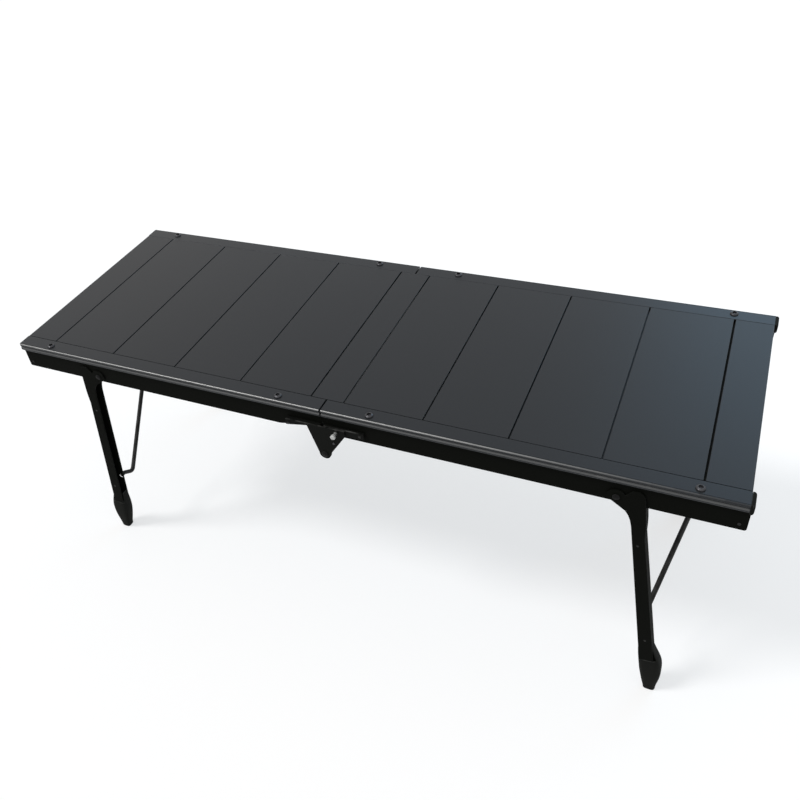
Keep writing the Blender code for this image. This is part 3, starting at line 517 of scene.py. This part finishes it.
for handName in hands:
    makeSlats(f"{handName}Slats", [f"slat_{handName}_{index}" for index in (1, 2, 3, 4)], f"{handName}_half",
              slat["ribs"], left=slat["seams"][handName])
makeSlats("leftEndStrip", ["end_strip_left"], "left_half", tongue=False, over=slat["leftOver"])
makeSlats("rightEndStrip", ["end_strip_right"], "right_half", left=slat["wideInset"], lap=False,
          tongueTop=slat["deepTongue"])
makeSlats("centreStrip", ["centre_strip"], "left_half", left=slat["seams"]["centre"])
print("slats laid")


# ---- the rails

rail = {"width": 0.0265, "ledgeTop": 0.0123, "wall": 0.0024, "skin": 0.0028, "innerEdge": 0.0007, "innerSteps": 4,
        "bead": 0.0024, "beadArc": (145, 270, 14), "scribe": 0.0007, "scribeDraft": 0.0001, "valley": 0.0018,
        "groove": 0.0026, "grooveSide": 0.92, "grooveHalf": 0.0004, "foot": 0.0008,
        "lowerBead": 0.0022, "lowerArc": (115, 220, 9), "lowerSet": 0.8,
        "splitGap": 0.0011, "steps": 20, "endRound": 0.0035, "endReach": 0.01}
# painted highlight on the rails: which faces turn up and out enough to take it, its fade towards the right, and
# the faint painted light on the fronts below
railHighlight = {"up": 0.82, "out": 0.57, "from": 0.80, "over": 0.15, "fadeFrom": 0.2, "fadeTo": 0.58,
           "lower": 0.34, "lowerLeast": 0.03, "lowerFacing": 0.3, "endFacing": 0.5}


def railProfile(reach, height):
    bead, lower, groove, wall, scribe = (rail[key] for key in ("bead", "lowerBead", "groove", "wall", "scribe"))
    width, ledge, skin, edge = (rail[key] for key in ("width", "ledgeTop", "skin", "innerEdge"))
    draft = rail["scribeDraft"]
    valley = 2 * bead + rail["valley"]
    middle = valley + rail["valley"] + lower * rail["lowerSet"]
    foot, slope, half = groove + rail["foot"], groove * rail["grooveSide"], rail["grooveHalf"]
    outline = arcPoints((bead, bead), bead, *rail["beadArc"])
    outline += [(bead + 2 * draft, draft), (bead + 3 * draft, scribe), (bead + scribe, scribe)]
    outline += [(bead + scribe + draft, 0)]
    outline += arcPoints((width - edge, edge), edge, 270, 360, rail["innerSteps"])
    outline += [(width, ledge), (reach, ledge), (reach, height), (width - wall, height), (width - wall, skin)]
    outline += [(foot + wall, skin), (foot + wall, height), (foot, height), (foot, middle + lower)]
    outline += arcPoints((lower, middle), lower, *rail["lowerArc"])
    return outline + [(slope, valley + half), (groove, valley), (slope, valley - half)]


def paintBeadHighlight(made, side, outer, top):
    # painted highlight: the top bead is painted bright where it faces up and out, less towards the right, and the
    # lower bead and the front below it take only a faint painted light
    values = []
    for face in made.data.polygons:
        centre, normal = face.center, face.normal
        facing = railHighlight["up"] * normal.z + railHighlight["out"] * side * normal.y
        value = share(facing, railHighlight["from"], railHighlight["over"])
        down, inward = top - centre.z, side * (outer - centre.y)
        if inward > rail["bead"] or abs(normal.x) > railHighlight["endFacing"]:
            value = 0.0
        if down > 2 * rail["bead"] + rail["valley"] and abs(normal.x) < railHighlight["endFacing"]:
            seen = side * normal.y > railHighlight["lowerFacing"]
            value = max(railHighlight["lowerLeast"], railHighlight["lower"] * value) if seen else 0.0
        else:
            value *= 1.0 - share(centre.x, railHighlight["fadeFrom"], railHighlight["fadeTo"] - railHighlight["fadeFrom"])
        values.append(value)
    made.data.attributes["rub"].data.foreach_set("value", values)


for where, sideName, side, handName, hand in corners:
    node = f"rail_{sideName}_{handName}"
    low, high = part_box(node)
    if hand < 0:
        # the left rails run on over their end plugs
        low.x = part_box(f"rail_cap_{sideName}_left")[0].x
    outer = outward((low, high), "y", side)
    made = extrude(f"{where}Rail", railProfile(high.y - low.y, high.z - low.z), {
        "Length": high.x - low.x - rail["splitGap"], "Steps": rail["steps"], "Count": 1, "Pitch": 0.0,
        "Offset": ((low.x + high.x + hand * rail["splitGap"]) / 2, outer, high.z),
        "Turn": -side * math.pi / 2, "Material": finish["rail"]})
    if hand < 0:
        reach = (low.z - rail["endReach"], high.z + rail["endReach"])
        roundCorner(made, (low.x, outer), (1, -side), rail["endRound"], reach, True)
    dress(made, f"{handName}_half", "rail", [node], smooth=50)
    # painted highlight along the beads
    paintBeadHighlight(made, side, outer, high.z)
print("rails drawn")


# ---- screws and rivets

head = {"lip": 0.22, "flat": 0.55, "round": 0.45, "rise": 0.62, "angles": (15, 30, 45, 60),
        "crown": ((0.64, 0.93), (0.56, 1.0)), "cap": ((0.3, 1.06), (0.08, 1.08)),
        "socketRim": 1.12, "socketEdge": 0.93, "drill": 0.25, "drillTop": 0.9}
screw = {"radius": 0.0062, "height": 0.0029, "socket": 0.60, "socketDepth": 0.85, "segments": 36, "lift": 0.0002}
rivet = {"radius": 0.0022, "height": 0.0008, "segments": 24, "tubeIn": 0.0098, "tubeDrop": 0.024,
         "plateIn": 0.0060, "plateDrop": 0.0052}
plateDot = {"radius": 0.0019, "height": 0.0007, "x": 0.0195, "z": 0.3985}


def headRing(segments, radius, height, flats=None):
    points = []
    for index in range(segments):
        angle = math.tau * index / segments
        reach = radius
        if flats:
            turn = (angle % (math.tau / flats)) - math.pi / flats
            reach = radius * math.cos(math.pi / flats) / math.cos(turn)
        points.append((reach * math.cos(angle), reach * math.sin(angle), height))
    return points


def buttonHead(name, segments, socket=None, socketDepth=None):
    # a domed head of radius 1 and height 1, with a six-sided socket where one is asked for
    angles = [math.radians(angle) for angle in head["angles"]]
    rows = [(1.0, 0.0), (1.0, head["lip"])]
    rows += [(math.cos(a) * head["round"] + head["flat"], head["lip"] + math.sin(a) * head["rise"])
             for a in angles]
    rows += head["crown"]
    if socket:
        rows += [(socket * head["socketRim"], 1.0, 6), (socket, head["socketEdge"], 6)]
        rows += [(socket, 1.0 - socketDepth, 6), (socket * head["drill"], head["drillTop"] - socketDepth)]
    else:
        rows += head["cap"]
    return ringMesh(name, [headRing(segments, *row) for row in rows])


socketHead = buttonHead("socketHead", screw["segments"], screw["socket"], screw["socketDepth"])
plainHead = buttonHead("plainHead", rivet["segments"])
tilts = {"front": (math.pi / 2, 0, 0), "back": (-math.pi / 2, 0, 0)}


def placeFasteners(name, fastener, spots, size, body, which, tilt=(0, 0, 0), nodes=(), seed=3):
    mesh = bpy.data.meshes.new(name + "Spots")
    mesh.from_pydata(spots, [], [])
    spread = linkObject(name + "Spots", mesh)
    made = growFrom(name, "fastener", {
        "Fastener": fastener, "Spots": spread, "Radius": size["radius"], "Height": size["height"],
        "Tilt": tilt, "Spin": math.tau, "Seed": seed, "Material": finish[which]})
    dropHelpers(spread)
    dress(made, body, which, nodes, smooth=45)


for handName, hand in hands.items():
    nodes = [f"rail_screw_{sideName}_{handName}_{index}" for sideName in sides for index in (1, 2)]
    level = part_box(f"slat_{handName}_1")[1].z + screw["lift"]
    spots = [(*((low + high) / 2).xy, level) for low, high in map(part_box, nodes)]
    placeFasteners(f"{handName}RailScrews", socketHead, spots, screw, f"{handName}_half", "screwSteel",
                   nodes=nodes, seed=5 + hand)

for where, sideName, side, handName, hand in corners:
    for kind, node, which in (("tube", "apron", "wire"), ("plate", "hinge_plate", "darkSteel")):
        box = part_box(f"{node}_{sideName}_{handName}")
        spot = (outward(box, "x", hand) - hand * rivet[kind + "In"], outward(box, "y", side),
                box[1].z - rivet[kind + "Drop"])
        placeFasteners(f"{where}{kind.title()}Rivet", plainHead, [spot], rivet, f"{handName}_half", which,
                       tilts[sideName])
    if hand > 0:
        face = outward(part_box(f"hinge_plate_{sideName}_left"), "y", side)
        placeFasteners(f"{sideName}PlateDot", plainHead, [(plateDot["x"], face, plateDot["z"])], plateDot,
                       "left_half", "screwSteel", tilts[sideName])
print("screws and rivets set")


# ---- tubes, plates, clips and caps

soft = {"tube": (0.0008, 3), "apron": (0.0007, 3), "clip": (0.0006, 2), "plate": (0.0006, 2), "cap": (0.0004, 2),
        "plug": (0.0005, 2)}
apron = {"corner": 0.0044, "reach": 0.01}
# painted highlight on the plates' top edges, and how much wear the other faces keep
plateHighlight = {"edge": 0.9, "depth": 0.0004, "rest": 0.3}
plug = {"from": 0.0062, "to": 0.0238, "down": 0.0031, "up": 0.0002, "recess": 0.0004}
# a black block standing in for the shade in the right-end seam
seamShadePad = {"left": 0.0024, "right": 0.0017, "top": 0.0050, "bottom": 0.0086}
stopper = {"wall": 0.0017, "low": 0.0112, "recess": 0.0004, "length": 0.006}


def paintTopEdgeHighlight(plate):
    # painted highlight along the strip's upward-facing top edge, where light from above falls; the other faces
    # keep a little of their wear
    top = max(vert.co.z for vert in plate.data.vertices)
    layer = plate.data.attributes["rub"].data
    values = []
    for face in plate.data.polygons:
        upper = face.normal.z > 0.9 and face.center.z > top - plateHighlight["depth"]
        values.append(plateHighlight["edge"] if upper else layer[face.index].value * plateHighlight["rest"])
    layer.foreach_set("value", values)


def makePlug(name, body, nodes, *limits):
    # a soft-edged block between its limits along x, y and z, in the hollow of a rail or tube
    (lowX, highX), (lowY, highY), (lowZ, highZ) = (sorted(pair) for pair in limits)
    around = [(lowY, lowZ), (highY, lowZ), (highY, highZ), (lowY, highZ)]
    block = ringMesh(name, [[(x, y, z) for y, z in around] for x in (lowX, highX)])
    dress(softenEdges(block, *soft["plug"]), body, "mould", nodes)


def railPlug(name, node, body, side):
    low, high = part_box(node)
    outer = outward((low, high), "y", side)
    makePlug(name, body, [node], (low.x + plug["recess"], high.x),
             (outer - side * plug["from"], outer - side * plug["to"]),
             (low.z + plug["up"], high.z - plug["down"]))


def tubeStopper(name, body, low, high, hand):
    # closes a tube at the split, where light would show through
    inner, wall = outward((low, high), "x", -hand), stopper["wall"]
    makePlug(name, body, (), (inner + hand * stopper["recess"], inner + hand * stopper["length"]),
             (low.y + wall, high.y - wall), (low.z + stopper["low"], high.z - wall))


for handName, hand in hands.items():
    body = f"{handName}_half"
    softNode(f"{handName}EndTube", f"end_tube_{handName}", body, "coat", *soft["tube"])
    softNode(f"{handName}CentreTube", f"centre_tube_{handName}", body, "coat", *soft["tube"])
    if hand > 0:
        # painted shade: a black block under the seam at the right end makes the seam read as a dark line
        low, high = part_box("end_strip_right")
        makePlug("rightSeamPad", body, (), (low.x - seamShadePad["left"], low.x + seamShadePad["right"]),
                 (low.y + slat["endGap"], high.y - slat["endGap"]),
                 (high.z - seamShadePad["bottom"], high.z - seamShadePad["top"]))
    softNode(f"{handName}StayClip", f"stay_clip_{handName}", body, "mould", *soft["clip"])
    for sideName, side in sides.items():
        where = sideName + handName.title()
        node = f"apron_{sideName}_{handName}"
        low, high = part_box(node)
        tube = softenEdges(copyOfNode(f"{where}Apron", node), *soft["apron"])
        roundCorner(tube, (outward((low, high), "x", hand), low.z), (-hand, 1), apron["corner"],
                    (low.y - apron["reach"], high.y + apron["reach"]), False)
        dress(tube, body, "coat", [node])
        tubeStopper(f"{where}TubeStopper", body, low, high, hand)
        cap = f"rail_cap_{sideName}_{handName}"
        if hand < 0:
            railPlug(f"{where}RailPlug", cap, body, side)
        else:
            softNode(f"{where}RailCap", cap, body, "mould", *soft["cap"])
        # each plate gets a painted highlight along its top edge
        paintTopEdgeHighlight(softNode(f"{where}HingePlate", f"hinge_plate_{sideName}_{handName}", body, "plate",
                            *soft["plate"]))
print("tubes and plates softened")


# ---- pins

pin = {"leg": {"head": (0.005, 0.0015), "shank": 0.003, "tail": (0.0045, 0.0015)},
       "hinge": {"head": (0.0055, 0.002), "shank": 0.003, "tail": (0.004, 0.002)},
       "tip": (0.45, 0.00008), "dome": ((0.8, 0.28), (0.96, 0.6), (1, 0.85), (1, 1)),
       "rivetEnd": ((1, 1), (1, 0.35), (0.85, 0.1), (0.5, 0))}
latch = {"knob": 0.0041, "knobLength": 0.0046, "nose": ((0.6, 0), (0.85, 0.0003), (0.97, 0.0009)),
         "ridges": 2, "ridgeFrom": 0.0013, "ridgeRoom": 0.0024,
         "ridge": ((1, 0), (1, 0.0008), (0.93, 0.001), (0.93, 0.0011)),
         "shoulder": ((0.97, 0.0005), (0.85, 0)), "stem": 0.0024, "stemEdge": 0.0006, "stemTip": 0.8}


def placePin(name, node, body, which, side, profileOf):
    # the profile starts at the node's outer end and stops at its inner one
    low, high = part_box(node)
    start = (low + high) / 2
    start.y = outward((low, high), "y", side)
    dress(turned(name, profileOf(high.y - low.y), start, (0, -side, 0)), body, which, [node], smooth=40)


def domedPin(settings):
    # head outside, shank through, tail inside
    (radius, thick), shank, (tailRadius, tail) = (settings[key] for key in ("head", "shank", "tail"))

    def profileOf(length):
        profile = [(0, 0), (radius * pin["tip"][0], pin["tip"][1])]
        profile += [(radius * a, thick * b) for a, b in pin["dome"]] + [(shank, thick), (shank, length - tail)]
        return profile + [(tailRadius * a, length - tail * b) for a, b in pin["rivetEnd"]] + [(0, length)]

    return profileOf


def latchPin(length):
    # a ridged knob on a plain stem
    knob, stem, knobLength = latch["knob"], latch["stem"], latch["knobLength"]
    profile = [(0, 0)] + [(knob * a, b) for a, b in latch["nose"]]
    for index in range(latch["ridges"]):
        at = latch["ridgeFrom"] + index * (knobLength - latch["ridgeRoom"]) / latch["ridges"]
        profile += [(knob * a, at + b) for a, b in latch["ridge"]]
    profile += [(knob * a, knobLength - b) for a, b in latch["shoulder"]] + [(stem, knobLength)]
    return profile + [(stem, length - latch["stemEdge"]), (stem * latch["stemTip"], length), (0, length)]


for where, sideName, side, handName, hand in corners:
    placePin(f"{where}LegPin", f"leg_pin_{sideName}_{handName}", f"{handName}_half", "blackSteel", side,
             domedPin(pin["leg"]))
    if hand > 0:
        placePin(f"{sideName}HingePin", f"hinge_pin_{sideName}", "left_half", "blackSteel", side,
                 domedPin(pin["hinge"]))
for sideName, side in sides.items():
    placePin(f"{sideName}LatchPin", f"latch_pin_{sideName}", f"{sideName}_latch", "brightSteel", side, latchPin)
print("pins turned")


# ---- legs and feet

leg = {"edge": 0.0006, "segments": 3, "splay": 8.25, "pivotX": 0.4306, "pivotZ": 0.4165, "length": 0.345,
       "low": 0.0167, "width": 0.0161, "taper": 0.013, "faceY": 0.21, "near": 0.0020, "far": 0.0219}
legRivet = {"radius": 0.0018, "height": 0.00025, "spots": ((0.089, 0.42), (0.296, 0.52))}
foot = {"points": 56, "corner": 4.5, "steps": 14, "earRise": 0.027, "earFrom": 0.80, "earOver": 0.13,
        "earPower": 0.8, "wall": 0.0016, "inside": ((0.0010, 2.2), (0.0004, 1.2), (0.0001, 0.8)),
        "rimRound": 0.0011, "rim": ((0.0003, 0.45), (0.0006, 0.12), (0.0013, 0.0)),
        "padX": 0.5187, "padY": 0.1977, "padLength": 0.0094, "padWidth": 0.0082, "padPower": 0.55,
        # the last two entries: the rim's painted highlight, and how much wear the boot's sides keep
        "tread": ((0.0030, 1.0), (0.0012, 0.96), (0.0003, 0.87), (0.0, 0.76)), "rimHighlight": 1.0, "sideRub": 0.25}
# stations down the boot: along from the leg's end, share of the lean, inner and outer edge, front and back
bootStations = [
    (-0.027, 1.0, -0.0012, 0.0004, 0.0000, 0.0006), (-0.018, 1.0, -0.0017, 0.0022, 0.0000, 0.0012),
    (-0.008, 1.0, -0.0020, 0.0050, 0.0000, 0.0020), (0.004, 1.0, -0.0021, 0.0080, 0.0000, 0.0032),
    (0.016, 1.0, -0.0021, 0.0100, 0.0000, 0.0042), (0.028, 1.0, -0.0019, 0.0101, 0.0001, 0.0042),
    (0.042, 0.95, -0.0010, 0.0086, 0.0004, 0.0030), (0.054, 0.8, -0.0001, 0.0056, 0.0010, 0.0010),
    (0.066, 0.5, 0.0012, 0.0020, 0.0018, -0.0010), (0.0745, 0.15, 0.0020, 0.0002, 0.0024, -0.0022),
]


def legPlace(hand, along, across):
    # along runs down the leg from its pivot, across runs outwards
    lean = math.radians(leg["splay"])
    x = leg["pivotX"] + along * math.sin(lean) + across * math.cos(lean)
    return hand * x, leg["pivotZ"] - along * math.cos(lean) + across * math.sin(lean)


def legOuter(along):
    return leg["low"] + leg["width"] + leg["taper"] * along


def bootStation(along):
    # the stations joined by a smooth curve through all of them
    rows = bootStations
    if along >= rows[-1][0]:
        return rows[-1][1:]
    index = min(max(i for i, row in enumerate(rows) if row[0] <= along + 1e-9), len(rows) - 2)
    before, low, high = rows[max(index - 1, 0)], rows[index], rows[index + 1]
    after = rows[min(index + 2, len(rows) - 1)]
    t = (along - low[0]) / (high[0] - low[0])
    found = []
    for a, b, c, d in zip(before[1:], low[1:], high[1:], after[1:]):
        bend, twist = 2 * a - 5 * b + 4 * c - d, 3 * b - a - 3 * c + d
        found.append(0.5 * (2 * b + (c - a) * t + bend * t * t + twist * t ** 3))
    return found


def signedPower(value, power):
    return math.copysign(abs(value) ** power, value)


def bootPoint(hand, side, along, angle, shrink=0.0):
    tilt, inner, outer, front, back = bootStation(along)
    low, high = leg["low"] + inner, legOuter(leg["length"]) + outer
    near, far = leg["near"] + front, leg["far"] + back
    power = 2 / foot["corner"]
    across = signedPower(math.cos(angle), power) * ((high - low) / 2 - shrink)
    deep = signedPower(math.sin(angle), power) * ((far - near) / 2 - shrink)
    x, z = legPlace(hand, leg["length"] + along, (low + high) / 2)
    lean = math.radians(leg["splay"]) * tilt
    y = side * (leg["faceY"] - (near + far) / 2 - deep)
    return Vector((x + hand * across * math.cos(lean), y, z + across * math.sin(lean)))


def padPoint(hand, side, height, size, angle):
    x = foot["padX"] + signedPower(math.cos(angle), foot["padPower"]) * foot["padLength"] * size
    y = foot["padY"] - signedPower(math.sin(angle), foot["padPower"]) * foot["padWidth"] * size
    return Vector((hand * x, side * y, height))


def makeBoot(name, hand, side):
    # the rim dips across the front and back of the leg and climbs its narrow sides
    angles = [math.tau * (index + 0.5) / foot["points"] for index in range(foot["points"])]
    rise = [-foot["earRise"] * share(abs(math.cos(a)), foot["earFrom"], foot["earOver"]) ** foot["earPower"]
            for a in angles]
    edge = [(drop, foot["wall"] * size) for drop, size in foot["inside"]]
    edge += [(drop, foot["rimRound"] * size) for drop, size in foot["rim"]]
    rings = [[bootPoint(hand, side, top + drop, a, shrink) for top, a in zip(rise, angles)]
             for drop, shrink in edge]
    start, end = edge[-1][0], bootStations[-1][0]
    for step in range(1, foot["steps"] + 1):
        part = step / foot["steps"]
        rings.append([bootPoint(hand, side, top + start + (end - top - start) * part, a)
                      for top, a in zip(rise, angles)])
    rings += [[padPoint(hand, side, height, size, a) for a in angles] for height, size in foot["tread"]]
    return ringMesh(name, rings)


def paintRimHighlight(boot):
    # painted highlight on the rounded rim, where it turns up to the light; the sides keep only a little of their
    # wear
    layer = boot.data.attributes["rub"].data
    values = [foot["rimHighlight"] if index // foot["points"] in (2, 3, 4) else layer[index].value * foot["sideRub"]
              for index in range(len(boot.data.polygons))]
    layer.foreach_set("value", values)


for where, sideName, side, handName, hand in corners:
    body = f"{sideName}_{handName}_leg"
    softNode(f"{where}Leg", f"leg_{sideName}_{handName}", body, "coat", leg["edge"], leg["segments"])
    boot = makeBoot(f"{where}Foot", hand, side)
    # the boot's rim gets a painted highlight
    paintRimHighlight(dress(boot, body, "mould", [f"foot_{sideName}_{handName}"], smooth=50))
    marks = []
    for along, part in legRivet["spots"]:
        x, z = legPlace(hand, along, leg["low"] + (legOuter(along) - leg["low"]) * part)
        marks.append((x, side * (leg["faceY"] - leg["near"]), z))
    placeFasteners(f"{where}LegRivets", plainHead, marks, legRivet, body, "darkSteel", tilts[sideName])
print("legs and feet dressed")


# ---- the wire stays

stay = {"radius": 0.004, "sides": 20, "bend": 0.0095, "bendSteps": 7, "leastTurn": 0.02, "hookAlong": 0.2833,
        "hookAcross": 0.0068, "tip": 0.1876, "peg": 0.008, "knee": 0.1611, "rise": 0.012, "barHalf": 0.1545,
        "barX": 0.5696, "barZ": 0.4135, "pass": 0.0045,
        "passAt": ((-0.14, 0.55), (-0.05, 1), (0.05, 1), (0.14, 0.55))}


def roundedCorners(points, radius, steps):
    found = [points[0]]
    for before, corner, after in zip(points, points[1:], points[2:]):
        back, ahead = (before - corner).normalized(), (after - corner).normalized()
        turn = math.pi - back.angle(ahead)
        reach = min(radius * math.tan(turn / 2), (before - corner).length / 2, (after - corner).length / 2)
        if turn < stay["leastTurn"]:
            found.append(corner)
            continue
        start, end = corner + back * reach, corner + ahead * reach
        for index in range(steps + 1):
            t = index / steps
            found.append(start * (1 - t) ** 2 + corner * 2 * t * (1 - t) + end * t ** 2)
    return found + [points[-1]]


def stayPath(hand):
    # hook, knee, up across the end, along the bar, and back down to the other hook
    hookX, hookZ = legPlace(hand, stay["hookAlong"], leg["low"] + stay["hookAcross"])
    up = Vector((hand * stay["barX"] - hookX, 0, stay["barZ"] - hookZ)).normalized()
    aside = Vector((0, 1, 0)).cross(up)

    def run(side, offset):
        # the two wires bow past each other where they cross
        low = Vector((hookX, side * stay["knee"], hookZ)) - up * stay["rise"]
        high = Vector((hand * stay["barX"], -side * stay["barHalf"], stay["barZ"]))
        crossing = stay["knee"] / (stay["knee"] + stay["barHalf"])
        bow = [low.lerp(high, crossing + at) + aside * offset * size for at, size in stay["passAt"]]
        return [low, *bow, high]

    front, back = run(-1, stay["pass"]), run(1, -stay["pass"])
    pegs = [stay["tip"], stay["tip"] - stay["peg"]]
    points = [Vector((hookX, -y, hookZ)) for y in pegs] + front
    points += [*reversed(back), *(Vector((hookX, y, hookZ)) for y in reversed(pegs))]
    return roundedCorners(points, stay["bend"], stay["bendSteps"])


for handName, hand in hands.items():
    path = polyCurve(f"{handName}StayPath", stayPath(hand))
    made = growFrom(f"{handName}Stay", "wire", {
        "Path": path, "Radius": stay["radius"], "Sides": stay["sides"], "Material": finish["wire"]})
    dropHelpers(path)
    dress(made, f"{handName}_stay", "wire", [f"stay_{handName}"], smooth=60)
dropHelpers(socketHead, plainHead)
print("stays bent")


# ---- floor, light and camera

studio = {"floor": (0.40, 0.40, 0.40), "floorShade": 0.99, "floorDrift": 3.0, "floorGlow": 0.63,
          "floorBounce": 0.22, "floorSize": 30.0, "sky": (0.95, 0.98, 1.0), "skyStrength": 0.40,
          "aim": (0, 0, 0.4)}
lamps = {
    "above": {"kind": "SUN", "place": (-0.2, -0.3, 3.0), "angle": 80, "power": 0.5, "colour": (1.0, 1.0, 1.0)},
    "window": {"kind": "SUN", "place": (-1.5, -0.9, 2.8), "angle": 14, "power": 1.6, "colour": (1.0, 0.99, 0.98)},
    "backLeft": {"kind": "AREA", "place": (-2.6, 2.0, 1.9), "size": (1.2, 1.0), "power": 0.9,
                 "colour": (1.0, 0.78, 0.56)},
    "backRight": {"kind": "AREA", "place": (1.1, 2.3, 2.0), "size": (1.8, 1.0), "power": 17.5,
                  "colour": (0.36, 0.70, 1.0)},
}
view = {"place": (0.50784, -0.99814, 1.23968), "right": (0.90303, 0.41571, -0.10829),
        "down": (0.19221, -0.61644, -0.76358), "lens": 37.226, "sensor": 36, "shift": 0.0625}


def splitByRays(tree, lighting, seen, output):
    # one shader for the light that falls on the object, another for the camera and what mirrors and glass show
    rays = makeNode(tree, "ShaderNodeLightPath").outputs
    either = mathNode(tree, "MAXIMUM", rays["Is Camera Ray"], rays["Is Glossy Ray"])
    either = mathNode(tree, "MAXIMUM", either, rays["Is Transmission Ray"])
    feed(tree, output, {0: makeNode(tree, "ShaderNodeMixShader", {0: either, 1: lighting, 2: seen})})


def buildFloor():
    # a matt floor with a little glow where it is seen, so that it reads white and keeps a soft shadow
    shape = bmesh.new()
    bmesh.ops.create_grid(shape, x_segments=8, y_segments=8, size=studio["floorSize"] / 2)
    made = fromBmesh("paleFloor", shape)
    paint = bpy.data.materials.new("paleFloor")
    paint.use_nodes = True
    tree = paint.node_tree
    drift = noiseNode(tree, makeNode(tree, "ShaderNodeTexCoord").outputs["Object"], studio["floorDrift"])
    shade = [value * studio["floorShade"] for value in studio["floor"]]
    seen = feed(tree, tree.nodes["Principled BSDF"], {
        "Base Color": mixColours(tree, drift, (*shade, 1), (*studio["floor"], 1)), "Roughness": 0.9,
        "Specular IOR Level": 0.1, "Emission Color": (1, 1, 1, 1), "Emission Strength": studio["floorGlow"]})
    dull = makeNode(tree, "ShaderNodeBsdfDiffuse", {"Color": (studio["floorBounce"],) * 3 + (1,)})
    splitByRays(tree, dull, seen, tree.nodes["Material Output"])
    made.data.materials.append(paint)


def buildWorld():
    world = bpy.data.worlds.new("paleStudio")
    bpy.context.scene.world = world
    world.use_nodes = True
    tree = world.node_tree
    tree.nodes.clear()
    dim = {"Color": (*studio["sky"], 1), "Strength": studio["skyStrength"]}
    sky = makeNode(tree, "ShaderNodeBackground", dim)
    white = makeNode(tree, "ShaderNodeBackground", {"Color": (1, 1, 1, 1)})
    splitByRays(tree, sky, white, makeNode(tree, "ShaderNodeOutputWorld"))


def buildLamps():
    for name, settings in lamps.items():
        data = bpy.data.lights.new(name, settings["kind"])
        if settings["kind"] == "AREA":
            data.shape = "RECTANGLE"
            data.size, data.size_y = settings["size"]
        else:
            data.angle = math.radians(settings["angle"])
        data.energy = settings["power"]
        data.color = settings["colour"]
        lamp = linkObject(name, data)
        lamp.location = settings["place"]
        aim = Vector(studio["aim"]) - Vector(settings["place"])
        lamp.rotation_euler = aim.to_track_quat("-Z", "Y").to_euler()


def buildCamera():
    data = bpy.data.cameras.new("camera")
    data.lens, data.sensor_width, data.shift_x = view["lens"], view["sensor"], view["shift"]
    camera = linkObject("camera", data)
    right = Vector(view["right"]).normalized()
    up = -Vector(view["down"])
    up = (up - right * up.dot(right)).normalized()
    turn = Matrix((right, up, right.cross(up))).transposed()
    camera.matrix_world = Matrix.Translation(view["place"]) @ turn.to_4x4()
    bpy.context.scene.camera = camera


buildFloor()
buildWorld()
buildLamps()
buildCamera()
bpy.context.scene.view_settings.view_transform = "Standard"
print("studio set")
